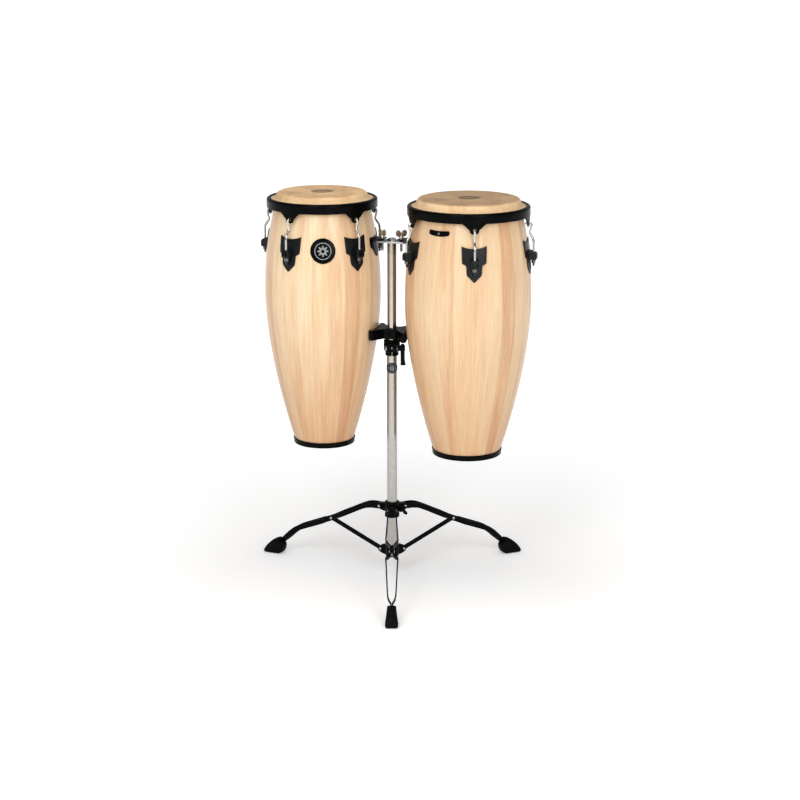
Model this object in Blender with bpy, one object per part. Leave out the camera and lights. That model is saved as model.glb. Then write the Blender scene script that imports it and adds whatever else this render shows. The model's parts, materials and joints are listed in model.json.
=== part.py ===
"""A pair of conga drums on a folding double stand.

Metres, +Z up. Two stave-built drums hang on brackets from a crossbar at the top of a telescopic
post, lean against a padded cradle half way down it, and stand on a tripod of double-braced legs.
The line through the two drums is turned a little about the post, the larger drum to the front.
"""

import math
from types import SimpleNamespace

import bmesh
import bpy
from mathutils import Matrix, Vector

# ---------------------------------------------------------------- driving dimensions, in metres

GAP = 0.0004  # clearance between pieces that touch
DRUM_SIDES = 24  # facets of a turned drum piece
TUBE_SIDES = 20  # facets of a tube and of what slides on it
PIN_SIDES = 8  # facets of pins, bolts and their bores

# Post: a lower tube on the tripod, and an upper one that slides in it
UPPER_TUBE_R = 0.0127
UPPER_BORE_R = UPPER_TUBE_R - 0.0015
TUBE_BORE_R = UPPER_TUBE_R + 0.0005
TUBE_R = TUBE_BORE_R + 0.0011
TUBE_BOTTOM = 0.0605
TUBE_TOP = 0.655
UPPER_TUBE_INSERTED = 0.275  # how much of the upper tube is inside the lower one
BUSH_WALL = 0.0028
BUSH_LENGTH = 0.032

# Tripod: radius from the post and height of each pivot and bend, in the plane of a leg
LEG_AZIMUTHS = (-90.0, 30.0, 150.0)
PIVOT_R = TUBE_R + 0.0222
COLLAR_PIVOT_Z = 0.2023
HUB_PIVOT_Z = 0.074
STRUT_PIVOT_R = 0.201
KNEE = (0.078, 0.200)
ANKLE = (0.318, 0.089)
FOOT_ENTRY = (0.3735, 0.0391)
BAR_END_IN_FOOT = 0.018
FOLDED_ANGLE = 80.0  # slope of the arms when the tripod is closed

BAR_HEIGHT = 0.0155
BAR_THICKNESS = 0.0035
BAR_TAIL = 0.008  # bar behind its pivot
BARS_AT_KNEE = 0.0118  # half spacing of a leg's two bars, from the leg's middle plane
BARS_WIDEST = 0.0165
BARS_AT_ANKLE = 0.0128
BARS_BEFORE_FOOT = 0.0105
STRUT_THICKNESS = 0.004
STRUT_HEIGHT = 0.011
STRUT_EYE = 0.007
PIN_R = 0.0028
PIN_HEAD_R = 0.0046
PIN_HEAD = 0.0019
EAR_THICKNESS = 0.003
BLOCK_HALF_WIDTH = 0.0085
COLLAR_R = TUBE_R + 0.0065
COLLAR_HEIGHT = 0.0443
COLLAR_BOTTOM = 0.1754
HUB_R = TUBE_R + 0.0049
COLLAR_BOLT_AZIMUTH = -30.0
COLLAR_BOLT_Z = 0.1995
BOLT_BOSS = 0.009  # how far the bolt's boss stands out

FOOT_LENGTH = 0.0575
FOOT_TOE_R = FOOT_ENTRY[0] + FOOT_LENGTH
FOOT_HEEL_WIDTH = 0.024
FOOT_TOE_WIDTH = 0.036

# Height clamp
CLAMP_BOTTOM = TUBE_TOP - 0.011
CLAMP_TOP = TUBE_TOP + 0.0322
CLAMP_R = TUBE_R + 0.0085
CLAMP_NECK_R = TUBE_R + 0.0043
CLAMP_BOSS_HALF = 0.014
CLAMP_BOLT_Y = -TUBE_R - 0.0122
CLAMP_BOLT_Z = TUBE_TOP + 0.014
CLAMP_BOLT_R = 0.0038
LEVER_LENGTH = 0.048
LEVER_RISE = 0.012  # of the blade above its bolt
LEVER_HALF_WIDTH = 0.0062
LEVER_X = 0.0295  # middle of the lever's blade

# Crossbar and cradle
BAR_LINE_TURN = -16.5  # the drum line's angle about the post
POST_RISE = 0.310  # of the crossbar over the lower tube, with the post at its lowest
CROSSBAR_TOP = TUBE_TOP + POST_RISE
CROSSBAR_THICKNESS = 0.0047
CROSSBAR_HALF_LENGTH = 0.042
CROSSBAR_HALF_WIDTH = 0.0225
WING_BOLT_X = 0.027
WING_BOLT_R = 0.0038
CRADLE_BOTTOM = CLAMP_TOP + 0.0058
CRADLE_HEIGHT = 0.028
CRADLE_ARC = 20.0  # half angle of each hollow
CRADLE_HUB_R = UPPER_TUBE_R + 0.0098
CRADLE_TIP = 0.010
PAD_THICKNESS = 0.0035
PAD_ARC = 19.0

# Drums: what both share
DRUM_HEIGHT = 0.711
BAR_DEPTH = 0.1274  # of the crossbar's top below the playing faces
WALL = 0.011
HEAD_THICKNESS = 0.0025
RIM_HEIGHT = 0.0265
RIM_WALL = 0.0046
RIM_LIP = 0.0121
RIM_STANDOFF = 0.01445  # rim's outside to the shell, at the tips of the ears
EAR_HALF_WIDTH = 0.0315
EAR_DEPTH = 0.027
EAR_SHEET = 0.0024  # stays inside the rim's wall
HOOK_R = 0.0032
LUG_COUNT = 5
LUG_TOP = 0.1045  # below the playing face
LUG_HEIGHT = 0.0955
LUG_HALF_WIDTH = 0.033
LUG_THICKNESS = 0.003
LUG_BLOCK_TOP = 0.035  # below the plate's top corners
LUG_BLOCK_HEIGHT = 0.021
LUG_BLOCK_HALF = 0.0105
LUG_BLOCK_DEPTH = 0.0240
ROD_STANDOFF = 0.0150  # hook's straight end to the shell
NUT_R = 0.0058
NUT_HEIGHT = 0.0075
BOTTOM_RING_HEIGHT = 0.0155
BOTTOM_RING_LIP = 0.003
BOTTOM_RING_WALL = 0.0024
BRACKET_THICKNESS = 0.003
LEDGE_THICKNESS = 0.003
LEDGE_HALF_WIDTH = 0.019
BRACKET_DROP = 0.048

# Drums: what is each one's own. Radii are the shell's outer ones. The belly and the rim's top are
# measured down from the playing face, and lug_shift is in degrees.
SMALL = SimpleNamespace(
    name="small", side=-1, edge_r=0.1255, belly_r=0.161, belly=0.286, foot_r=0.0795,
    rim_drop=0.0150, post_gap=0.0502, lug_shift=1.0,
)
LARGE = SimpleNamespace(
    name="large", side=1, edge_r=0.1400, belly_r=0.1722, belly=0.290, foot_r=0.0892,
    rim_drop=0.0185, post_gap=0.0545, lug_shift=2.0,
)
EDGE_DEPTH = 0.020  # where edge_r is measured
TOP_BEND = 2.2  # exponents of the shell's curve above and below its belly
BOTTOM_BEND = 1.65

COLOURS = {
    "wood": ((0.80, 0.60, 0.38, 1), 0.35, 0.0),
    "skin": ((0.78, 0.58, 0.34, 1), 0.5, 0.0),
    "black": ((0.02, 0.02, 0.022, 1), 0.35, 0.4),
    "chrome": ((0.78, 0.78, 0.76, 1), 0.12, 1.0),
    "steel": ((0.62, 0.62, 0.60, 1), 0.3, 1.0),
    "rubber": ((0.03, 0.03, 0.03, 1), 0.7, 0.0),
    "nylon": ((0.05, 0.05, 0.05, 1), 0.5, 0.0),
}


# ---------------------------------------------------------------- modelling helpers

def clear_scene():
    for thing in list(bpy.data.objects):
        bpy.data.objects.remove(thing, do_unlink=True)


def material(name):
    known = bpy.data.materials.get(name)
    if known:
        return known
    made = bpy.data.materials.new(name)
    made.use_nodes = True
    colour, roughness, metallic = COLOURS[name]
    shader = made.node_tree.nodes["Principled BSDF"]
    shader.inputs["Base Color"].default_value = colour
    shader.inputs["Roughness"].default_value = roughness
    shader.inputs["Metallic"].default_value = metallic
    return made


def empty(name, parent=None, at=(0, 0, 0), turn=0.0):
    """A frame that parts hang on, turned about Z by turn degrees."""
    made = bpy.data.objects.new(name, None)
    made.empty_display_size = 0.03
    made.location = at
    made.rotation_euler = (0, 0, math.radians(turn))
    made.parent = parent
    bpy.context.collection.objects.link(made)
    return made


def solid(name, bm):
    """An object from a bmesh, with doubles merged and its faces pointing out."""
    bmesh.ops.remove_doubles(bm, verts=bm.verts, dist=1e-6)
    bmesh.ops.recalc_face_normals(bm, faces=bm.faces)
    mesh = bpy.data.meshes.new(name)
    bm.to_mesh(mesh)
    bm.free()
    made = bpy.data.objects.new(name, mesh)
    bpy.context.collection.objects.link(made)
    return made


def turned(name, profile, sides):
    """A closed outline of (radius, height) points spun about Z. A side along the axis is left out."""
    bm = bmesh.new()
    points = [bm.verts.new((r, 0, z)) for r, z in profile]
    sides_of = zip(points, points[1:] + points[:1])
    edges = [bm.edges.new((a, b)) for a, b in sides_of if max(a.co.x, b.co.x) > 0]
    bmesh.ops.spin(
        bm, geom=points + edges, cent=(0, 0, 0), axis=(0, 0, 1), angle=math.tau,
        steps=sides, use_merge=True,
    )
    return solid(name, bm)


def rod(name, radius, start, end, sides=PIN_SIDES):
    """A round or polygonal bar between two points."""
    start, end = Vector(start), Vector(end)
    along = end - start
    bm = bmesh.new()
    bmesh.ops.create_cone(
        bm, cap_ends=True, segments=sides, radius1=radius, radius2=radius, depth=along.length,
        matrix=Matrix.Translation((start + end) / 2) @ along.to_track_quat("Z", "Y").to_matrix().to_4x4(),
    )
    return solid(name, bm)


def block(name, low, high):
    """A box between two corners."""
    low, high = Vector(low), Vector(high)
    bm = bmesh.new()
    size = Matrix.Diagonal((*(high - low), 1))
    bmesh.ops.create_cube(bm, size=1, matrix=Matrix.Translation((low + high) / 2) @ size)
    return solid(name, bm)


def prism(name, outline, low, high, plane="XY"):
    """An outline extruded from low to high along the axis its plane leaves out."""
    bm = bmesh.new()
    if plane == "XY":
        corners = [Vector((a, b, low)) for a, b in outline]
        step = Vector((0, 0, high - low))
    elif plane == "XZ":
        corners = [Vector((a, low, b)) for a, b in outline]
        step = Vector((0, high - low, 0))
    else:
        corners = [Vector((low, a, b)) for a, b in outline]
        step = Vector((high - low, 0, 0))
    face = bm.faces.new([bm.verts.new(c) for c in corners])
    made = bmesh.ops.extrude_face_region(bm, geom=[face], use_keep_orig=True)
    moved = [g for g in made["geom"] if isinstance(g, bmesh.types.BMVert)]
    bmesh.ops.translate(bm, verts=moved, vec=step)
    return solid(name, bm)


def strip(name, stations, thickness, height):
    """A flat bar through (radius, height, side offset) stations, standing on its edge."""
    bm = bmesh.new()
    rings = []
    for i, (r, z, side) in enumerate(stations):
        before = stations[max(i - 1, 0)]
        after = stations[min(i + 1, len(stations) - 1)]
        along = Vector((after[0] - before[0], after[1] - before[1])).normalized()
        up = Vector((-along.y, along.x)) * height / 2
        rings.append([
            bm.verts.new((r + s * up.x, side + t * thickness / 2, z + s * up.y))
            for s, t in ((1, 1), (1, -1), (-1, -1), (-1, 1))
        ])
    for a, b in zip(rings, rings[1:]):
        for k in range(4):
            bm.faces.new((a[k], a[(k + 1) % 4], b[(k + 1) % 4], b[k]))
    bm.faces.new(rings[0])
    bm.faces.new(rings[-1])
    return solid(name, bm)


def wire(name, path, radii, sides=6):
    """A round bar through points of the XZ plane, whose radius may change along it."""
    bm = bmesh.new()
    rings = []
    for i, (x, z) in enumerate(path):
        before, after = path[max(i - 1, 0)], path[min(i + 1, len(path) - 1)]
        along = Vector((after[0] - before[0], after[1] - before[1])).normalized()
        ring = []
        for k in range(sides):
            a = math.tau * k / sides
            out, side = radii[i] * math.cos(a), radii[i] * math.sin(a)
            ring.append(bm.verts.new((x - along.y * out, side, z + along.x * out)))
        rings.append(ring)
    for a, b in zip(rings, rings[1:]):
        for k in range(sides):
            bm.faces.new((a[k], a[(k + 1) % sides], b[(k + 1) % sides], b[k]))
    bm.faces.new(rings[0])
    bm.faces.new(rings[-1])
    return solid(name, bm)


def wrapped(name, rows, radius_at, gap, thickness):
    """A plate bent round a shell: rows of (depth, side widths), laid on radius_at(depth)."""
    bm = bmesh.new()
    grid = []
    for depth, widths in rows:
        line = []
        for across, lift in widths:
            below = depth + lift
            radius = radius_at(below)
            angle = across / radius
            reach = radius + gap
            line.append(bm.verts.new((reach * math.cos(angle), reach * math.sin(angle), -below)))
        grid.append(line)
    for a, b in zip(grid, grid[1:]):
        for k in range(len(a) - 1):
            bm.faces.new((a[k], a[k + 1], b[k + 1], b[k]))
    made = bmesh.ops.extrude_face_region(bm, geom=bm.faces[:], use_keep_orig=True)
    for vert in (g for g in made["geom"] if isinstance(g, bmesh.types.BMVert)):
        flat = Vector((vert.co.x, vert.co.y, 0)).normalized()
        vert.co += flat * thickness
    return solid(name, bm)


def even_row(depth, half_width, sag=0.0, steps=4):
    """One row of a wrapped plate: evenly spaced, its middle lower than its ends by sag."""
    shares = [2 * k / steps - 1 for k in range(steps + 1)]
    return depth, [(s * half_width, sag * (1 - abs(s))) for s in shares]


def combined(body, tools, operation):
    """The body after each tool is joined to it or cut from it, with the tools used up."""
    for tool in tools:
        step = body.modifiers.new("step", "BOOLEAN")
        step.operation = operation
        step.object = tool
    bpy.context.view_layer.update()
    seen = body.evaluated_get(bpy.context.evaluated_depsgraph_get())
    mesh = bpy.data.meshes.new_from_object(seen)
    body.modifiers.clear()
    body.data = mesh
    for tool in tools:
        bpy.data.objects.remove(tool, do_unlink=True)
    return body


def united(body, *tools):
    return combined(body, tools, "UNION")


def cut(body, *tools):
    return combined(body, tools, "DIFFERENCE")


def copy_turned(source, name, degrees):
    """Another object with its own copy of the mesh, turned about Z."""
    made = source.copy()
    made.data = source.data.copy()
    made.name = name
    made.data.transform(Matrix.Rotation(math.radians(degrees), 4, "Z"))
    bpy.context.collection.objects.link(made)
    return made


def hang(piece, frame, finish, origin=(0, 0, 0)):
    """Puts a piece on its frame, whose origin is at this point of the piece's own drawing."""
    piece.data.transform(Matrix.Translation(-Vector(origin)))
    piece.data.materials.clear()
    piece.data.materials.append(material(finish))
    piece.data.shade_smooth()
    piece.data.set_sharp_from_angle(angle=math.radians(35))
    piece.parent = frame
    return piece


def bore(radius, sides):
    """Radius of a polygonal hole that a round bar of the given radius clears."""
    return (radius + GAP) / math.cos(math.pi / sides)


# ---------------------------------------------------------------- tripod

def strut_pivot():
    """The two arms of the linkage are equal, so their pivot is half way up."""
    return STRUT_PIVOT_R, (COLLAR_PIVOT_Z + HUB_PIVOT_Z) / 2


def fold():
    """Collar travel and arm rotation, in metres and degrees, from open to closed."""
    r, z = strut_pivot()
    arm = math.hypot(r - PIVOT_R, z - HUB_PIVOT_Z)
    opened = math.atan2(z - HUB_PIVOT_Z, r - PIVOT_R)
    closed = math.radians(FOLDED_ANGLE)
    return 2 * arm * (math.sin(closed) - math.sin(opened)), math.degrees(closed - opened)


def leg_height(r):
    """Height of a leg's centre line at a radius."""
    line = [(PIVOT_R, COLLAR_PIVOT_Z), KNEE, strut_pivot(), ANKLE, FOOT_ENTRY]
    for (r0, z0), (r1, z1) in zip(line, line[1:]):
        if r <= r1 or (r1, z1) == line[-1]:
            return z0 + (z1 - z0) * (r - r0) / (r1 - r0)


def leg_stations():
    """Radius, height and side offset along one bar of a leg: wide apart, pinched onto the strut."""
    at_collar = BLOCK_HALF_WIDTH + GAP + BAR_THICKNESS / 2
    pinched = (STRUT_THICKNESS + BAR_THICKNESS) / 2 + 1.5 * GAP
    joined = BAR_THICKNESS / 2 + GAP
    pivot_r = STRUT_PIVOT_R
    slope = math.atan2(ANKLE[1] - FOOT_ENTRY[1], FOOT_ENTRY[0] - ANKLE[0])
    end_r = FOOT_ENTRY[0] + BAR_END_IN_FOOT * math.cos(slope)
    sides = [
        (PIVOT_R - BAR_TAIL, at_collar),
        (PIVOT_R + 0.012, at_collar),
        (KNEE[0], BARS_AT_KNEE),
        (pivot_r - 0.036, BARS_WIDEST),
        (pivot_r - 0.014, pinched),
        (pivot_r + 0.014, pinched),
        (pivot_r + 0.030, BARS_WIDEST),
        (ANKLE[0], BARS_AT_ANKLE),
        (FOOT_ENTRY[0] - 0.024, BARS_BEFORE_FOOT),
        (FOOT_ENTRY[0] - 0.007, joined),
        (end_r, joined),
    ]
    return [(r, leg_height(r), side) for r, side in sides]


def foot_outline():
    """Side view of a rubber foot, from its heel face round over the toe to the flat sole."""
    slope = math.atan2(ANKLE[1] - FOOT_ENTRY[1], FOOT_ENTRY[0] - ANKLE[0])
    across = Vector((math.sin(slope), math.cos(slope)))
    entry = Vector(FOOT_ENTRY)
    top, under = entry + across * 0.0125, entry - across * 0.0150
    toe = FOOT_TOE_R
    return [
        tuple(top), (toe - 0.034, 0.0445), (toe - 0.014, 0.0265), (toe - 0.001, 0.0090),
        (toe, 0.0030), (toe - 0.005, 0.0), (toe - 0.047, 0.0), (toe - 0.066, 0.0105), tuple(under),
    ]


def leg(number, azimuth, collar, stand):
    """Two bars and a foot on the collar's hinge, and a strut on the hub's."""
    label = f"leg_{number}"
    in_collar = empty(f"{label}_plane", collar, at=(0, 0, -COLLAR_PIVOT_Z), turn=azimuth)
    hinge_at = (PIVOT_R, 0, COLLAR_PIVOT_Z)
    hinge = empty(f"{label}_hinge", in_collar, at=hinge_at)
    stations = leg_stations()
    width = BARS_WIDEST + BAR_THICKNESS
    for side, word in ((-1, "right"), (1, "left")):
        placed = [(r, z, side * offset) for r, z, offset in stations]
        bar = strip(f"{label}_{word}_bar", placed, BAR_THICKNESS, BAR_HEIGHT)
        ends = (PIVOT_R, -width, COLLAR_PIVOT_Z), (PIVOT_R, width, COLLAR_PIVOT_Z)
        hole = rod("hole", bore(PIN_R, PIN_SIDES), *ends)
        hang(cut(bar, hole), hinge, "black", hinge_at)

    outline = foot_outline()
    foot = prism(f"{label}_foot", outline, -1.0, 1.0, "XZ")
    heel_r = min(r for r, _ in outline)
    for vert in foot.data.vertices:
        share = (vert.co.x - heel_r) / (FOOT_TOE_R - heel_r)
        vert.co.y *= (FOOT_HEEL_WIDTH + share * (FOOT_TOE_WIDTH - FOOT_HEEL_WIDTH)) / 2
    entry = [(FOOT_ENTRY[0] - 0.014, 0), (stations[-1][0] + GAP, 0)]
    socket = strip(
        "socket", [(r, leg_height(r), side) for r, side in entry],
        2 * BAR_THICKNESS + 4 * GAP, BAR_HEIGHT + 2 * GAP,
    )
    hang(cut(foot, socket), hinge, "rubber", hinge_at)

    on_hub = empty(f"{label}_hub_plane", stand, turn=azimuth)
    strut_at = (PIVOT_R, 0, HUB_PIVOT_Z)
    strut_hinge = empty(f"strut_{number}_hinge", on_hub, at=strut_at)
    end_r, end_z = strut_pivot()
    reach = Vector((end_r - PIVOT_R, end_z - HUB_PIVOT_Z))
    beyond = reach.normalized() * STRUT_EYE
    ends = [(PIVOT_R - beyond.x, HUB_PIVOT_Z - beyond.y, 0), (end_r + beyond.x, end_z + beyond.y, 0)]
    strut = strip(f"strut_{number}", ends, STRUT_THICKNESS, STRUT_HEIGHT)
    holes = [
        rod("hole", bore(PIN_R, PIN_SIDES), (r, -0.01, z), (r, 0.01, z))
        for r, z in ((PIVOT_R, HUB_PIVOT_Z), (end_r, end_z))
    ]
    hang(cut(strut, *holes), strut_hinge, "black", strut_at)


def turned_pieces(pieces, azimuth):
    for piece in pieces:
        piece.data.transform(Matrix.Rotation(math.radians(azimuth), 4, "Z"))
    return pieces


def pin_through(half_length, z, sunk=0.0):
    """A pin across a leg's middle plane. Its heads may be sunk into what they bear on."""
    head = half_length + PIN_HEAD
    middle = half_length + PIN_HEAD / 2
    return [
        rod("pin", PIN_R, (PIVOT_R, -middle, z), (PIVOT_R, middle, z)),
        rod("head", PIN_HEAD_R, (PIVOT_R, half_length - sunk, z), (PIVOT_R, head, z)),
        rod("head", PIN_HEAD_R, (PIVOT_R, -head, z), (PIVOT_R, sunk - half_length, z)),
    ]


def lower_hub(stand):
    """The fixed ring at the foot of the post, whose ears carry the struts."""
    low, high = HUB_PIVOT_Z - 0.017, HUB_PIVOT_Z + 0.018
    inner = bore(TUBE_R, TUBE_SIDES)
    floor = TUBE_BOTTOM - GAP
    profile = [
        (0.0, low), (HUB_R - 0.003, low), (HUB_R, low + 0.003), (HUB_R, high), (inner, high),
        (inner, floor), (0.0, floor),
    ]
    hub = turned("lower_hub", profile, TUBE_SIDES)
    inside = STRUT_THICKNESS / 2 + 1.5 * GAP
    outside = inside + EAR_THICKNESS
    eye_r = PIVOT_R + 0.0075
    leaf = [
        (inner + 0.001, low + 0.001), (PIVOT_R - 0.008, HUB_PIVOT_Z - 0.0125),
        (PIVOT_R + 0.003, HUB_PIVOT_Z - 0.0075), (eye_r, HUB_PIVOT_Z - 0.002),
        (eye_r, HUB_PIVOT_Z + 0.003), (PIVOT_R + 0.003, HUB_PIVOT_Z + 0.0080),
        (PIVOT_R - 0.008, HUB_PIVOT_Z + 0.0130), (inner + 0.001, high - 0.001),
    ]
    tools = []
    for azimuth in LEG_AZIMUTHS:
        ears = [
            prism("ear", leaf, inside, outside, "XZ"),
            prism("ear", leaf, -outside, -inside, "XZ"),
        ]
        tools += turned_pieces(ears + pin_through(outside, HUB_PIVOT_Z, GAP), azimuth)
    hang(united(hub, *tools), stand, "black")


def leg_collar(collar):
    """The sliding ring that carries the legs, with a pinned block for each and a boss for its bolt."""
    inner = bore(TUBE_R, TUBE_SIDES)
    low, high = COLLAR_BOTTOM, COLLAR_BOTTOM + COLLAR_HEIGHT
    waist = COLLAR_R - 0.0022
    profile = [
        (inner, low), (COLLAR_R - 0.001, low), (COLLAR_R, low + 0.001), (COLLAR_R, low + 0.010),
        (waist, low + 0.013), (waist, low + 0.019), (COLLAR_R, low + 0.022), (COLLAR_R, high - 0.001),
        (COLLAR_R - 0.001, high), (inner, high),
    ]
    ring = turned("leg_collar", profile, TUBE_SIDES)
    outer_r = PIVOT_R + 0.0065
    side = [
        (inner + 0.002, COLLAR_PIVOT_Z - 0.014), (PIVOT_R - 0.004, COLLAR_PIVOT_Z - 0.0105),
        (outer_r, COLLAR_PIVOT_Z - 0.004), (outer_r, COLLAR_PIVOT_Z + 0.005),
        (PIVOT_R + 0.002, COLLAR_PIVOT_Z + 0.0085), (inner + 0.002, COLLAR_PIVOT_Z + 0.0095),
    ]
    tools = []
    for azimuth in LEG_AZIMUTHS:
        bars = BLOCK_HALF_WIDTH + BAR_THICKNESS + 2 * GAP
        pieces = [prism("block", side, -BLOCK_HALF_WIDTH, BLOCK_HALF_WIDTH, "XZ")]
        tools += turned_pieces(pieces + pin_through(bars, COLLAR_PIVOT_Z), azimuth)
    bolt_end = (COLLAR_R + BOLT_BOSS, 0, COLLAR_BOLT_Z)
    boss = rod("boss", 0.0075, (inner + 0.002, 0, COLLAR_BOLT_Z), bolt_end, 12)
    tools += turned_pieces([boss], COLLAR_BOLT_AZIMUTH)
    hole = rod("hole", bore(0.003, PIN_SIDES), (0, 0, COLLAR_BOLT_Z), (COLLAR_R + 0.02, 0, COLLAR_BOLT_Z))
    shaped = cut(united(ring, *tools), *turned_pieces([hole], COLLAR_BOLT_AZIMUTH))
    hang(shaped, collar, "black", (0, 0, COLLAR_PIVOT_Z))


def wing_bolt(name, shank, shank_r, wing_span, wing_rise, flange_r=0.0078, grip_r=0.0058):
    """A bolt drawn upright: its flange rests at zero, its shank below it and its wings above."""
    edge = 0.0008
    profile = [
        (0, -shank), (shank_r, -shank), (shank_r, 0), (flange_r - edge, 0), (flange_r, edge),
        (flange_r, 0.0018), (grip_r, 0.0030), (grip_r - 0.0006, 0.0100), (0, 0.0104),
    ]
    bolt = turned(name, profile, 12)
    half = wing_span / 2
    for side in (-1, 1):
        lobe = [
            (side * 0.0020, 0.0034), (side * 0.0075, 0.0050), (side * half * 0.95, wing_rise * 0.62),
            (side * half, wing_rise * 0.86), (side * half * 0.80, wing_rise),
            (side * half * 0.52, wing_rise * 0.84), (side * 0.0020, 0.0095),
        ]
        bolt = united(bolt, prism("lobe", lobe, -0.0017, 0.0017, "XZ"))
    return bolt


def tripod(stand):
    collar = empty("collar_slide", stand, at=(0, 0, COLLAR_PIVOT_Z))
    lower_hub(stand)
    leg_collar(collar)
    for number, azimuth in enumerate(LEG_AZIMUTHS, 1):
        leg(number, azimuth, collar, stand)
    reach = COLLAR_R + BOLT_BOSS + GAP
    level = COLLAR_BOLT_Z - COLLAR_PIVOT_Z
    plane = empty("collar_bolt_plane", collar, at=(0, 0, level), turn=COLLAR_BOLT_AZIMUTH)
    bolt_frame = empty("collar_bolt_turn", plane, at=(reach, 0, 0))
    bolt = wing_bolt("collar_wing_bolt", reach - TUBE_R - 0.0012, 0.003, 0.030, 0.019)
    bolt.data.transform(Matrix.Rotation(math.radians(90), 4, "Y") @ Matrix.Rotation(math.radians(20), 4, "Z"))
    hang(bolt, bolt_frame, "black")


# ---------------------------------------------------------------- post and clamp

def post(stand):
    """The lower tube with its clamp and bush, and the upper tube that slides in it."""
    lower = [
        (TUBE_BORE_R, TUBE_BOTTOM), (TUBE_R, TUBE_BOTTOM), (TUBE_R, TUBE_TOP), (TUBE_BORE_R, TUBE_TOP),
    ]
    hang(turned("lower_tube", lower, TUBE_SIDES), stand, "chrome")

    bush_in = bore(UPPER_TUBE_R, TUBE_SIDES)
    bush_out = bush_in + BUSH_WALL
    low, high = TUBE_TOP + GAP, TUBE_TOP + GAP + BUSH_LENGTH
    lip = CLAMP_TOP + GAP
    bush = [
        (bush_in, low), (bush_out, low), (bush_out, lip), (bush_out + 0.0015, lip),
        (bush_out + 0.0015, high + 0.001), (bush_in, high + 0.001),
    ]
    hang(turned("tube_bush", bush, TUBE_SIDES), stand, "nylon")
    height_clamp(stand, bush_out)

    slide = empty("height_slide", stand, at=(0, 0, TUBE_TOP))
    bottom, top = TUBE_TOP - UPPER_TUBE_INSERTED, CROSSBAR_TOP - CROSSBAR_THICKNESS - GAP
    upper = [(UPPER_BORE_R, bottom), (UPPER_TUBE_R, bottom), (UPPER_TUBE_R, top), (UPPER_BORE_R, top)]
    hang(turned("upper_tube", upper, TUBE_SIDES), slide, "chrome", (0, 0, TUBE_TOP))
    return slide


def height_clamp(stand, bush_out):
    """A split sleeve on the lower tube, closed on the bush by a cross bolt with a lever."""
    grip = bore(TUBE_R, TUBE_SIDES)
    seat = bore(bush_out, TUBE_SIDES)
    step = TUBE_TOP
    profile = [
        (grip, CLAMP_BOTTOM), (CLAMP_NECK_R - 0.001, CLAMP_BOTTOM), (CLAMP_NECK_R, CLAMP_BOTTOM + 0.001),
        (CLAMP_NECK_R, step), (CLAMP_R, step + 0.003), (CLAMP_R, CLAMP_TOP - 0.0015),
        (CLAMP_R - 0.0015, CLAMP_TOP), (seat, CLAMP_TOP), (seat, step), (grip, step),
    ]
    sleeve = turned("height_clamp", profile, TUBE_SIDES)
    front = CLAMP_BOLT_Y - 0.0075
    boss = block(
        "boss", (-CLAMP_BOSS_HALF, front, CLAMP_BOLT_Z - 0.0125),
        (CLAMP_BOSS_HALF, -seat - 0.0016, CLAMP_BOLT_Z + 0.0125),
    )
    slit = block("slit", (-0.0014, front - 0.01, CLAMP_BOTTOM - 0.01), (0.0014, 0, CLAMP_TOP + 0.01))
    across = (CLAMP_BOLT_Y, CLAMP_BOLT_Z)
    hole = rod("hole", bore(CLAMP_BOLT_R, PIN_SIDES), (-0.05, *across), (0.05, *across))
    hang(cut(united(sleeve, boss), slit, hole), stand, "black")

    end = LEVER_X - 0.004
    bolt = rod("clamp_bolt", CLAMP_BOLT_R, (-CLAMP_BOSS_HALF - 0.003, *across), (end, *across))
    head_end = -CLAMP_BOSS_HALF - GAP
    head = rod("head", 0.0066, (head_end - 0.0055, *across), (head_end, *across), 6)
    hang(united(bolt, head), stand, "chrome")

    hinge_at = (LEVER_X, *across)
    hinge = empty("clamp_lever_hinge", stand, at=hinge_at)
    start = CLAMP_BOSS_HALF + GAP
    hub = rod("clamp_lever", 0.0078, (start, *across), (LEVER_X + 0.0070, *across), 14)
    half = LEVER_HALF_WIDTH
    blade = prism(
        "blade",
        [
            (LEVER_X - 0.7 * half, CLAMP_BOLT_Z + LEVER_RISE),
            (LEVER_X + 0.7 * half, CLAMP_BOLT_Z + LEVER_RISE),
            (LEVER_X + half, CLAMP_BOLT_Z + LEVER_RISE - 0.003),
            (LEVER_X + half, CLAMP_BOLT_Z - 0.70 * LEVER_LENGTH),
            (LEVER_X + 1.35 * half, CLAMP_BOLT_Z - LEVER_LENGTH),
            (LEVER_X - 0.95 * half, CLAMP_BOLT_Z - LEVER_LENGTH),
            (LEVER_X - half, CLAMP_BOLT_Z - 0.70 * LEVER_LENGTH),
            (LEVER_X - half, CLAMP_BOLT_Z + LEVER_RISE - 0.003),
        ],
        CLAMP_BOLT_Y - 0.0045, CLAMP_BOLT_Y + 0.0045, "XZ",
    )
    hole = rod("hole", bore(CLAMP_BOLT_R, PIN_SIDES), (0, *across), (end + GAP, *across))
    hang(cut(united(hub, blade), hole), hinge, "black", hinge_at)


def stand_emblem(stand):
    """A round plate bent round the front of the lower tube."""
    radius, centre = 0.0155, CLAMP_BOTTOM - 0.0345
    widest = 0.94 * TUBE_R
    rows = []
    for k in range(6):
        turn = math.radians(-75 + 30 * k)
        half = min(radius * math.cos(turn), widest)
        rows.append(even_row(-centre - radius * math.sin(turn), TUBE_R * math.asin(half / TUBE_R), steps=8))
    plate = wrapped("stand_emblem", rows, lambda depth: TUBE_R, 2 * GAP, 0.0009)
    plate.data.transform(Matrix.Rotation(math.radians(-90), 4, "Z"))
    hang(plate, stand, "black")


# ---------------------------------------------------------------- crossbar and cradle

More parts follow.
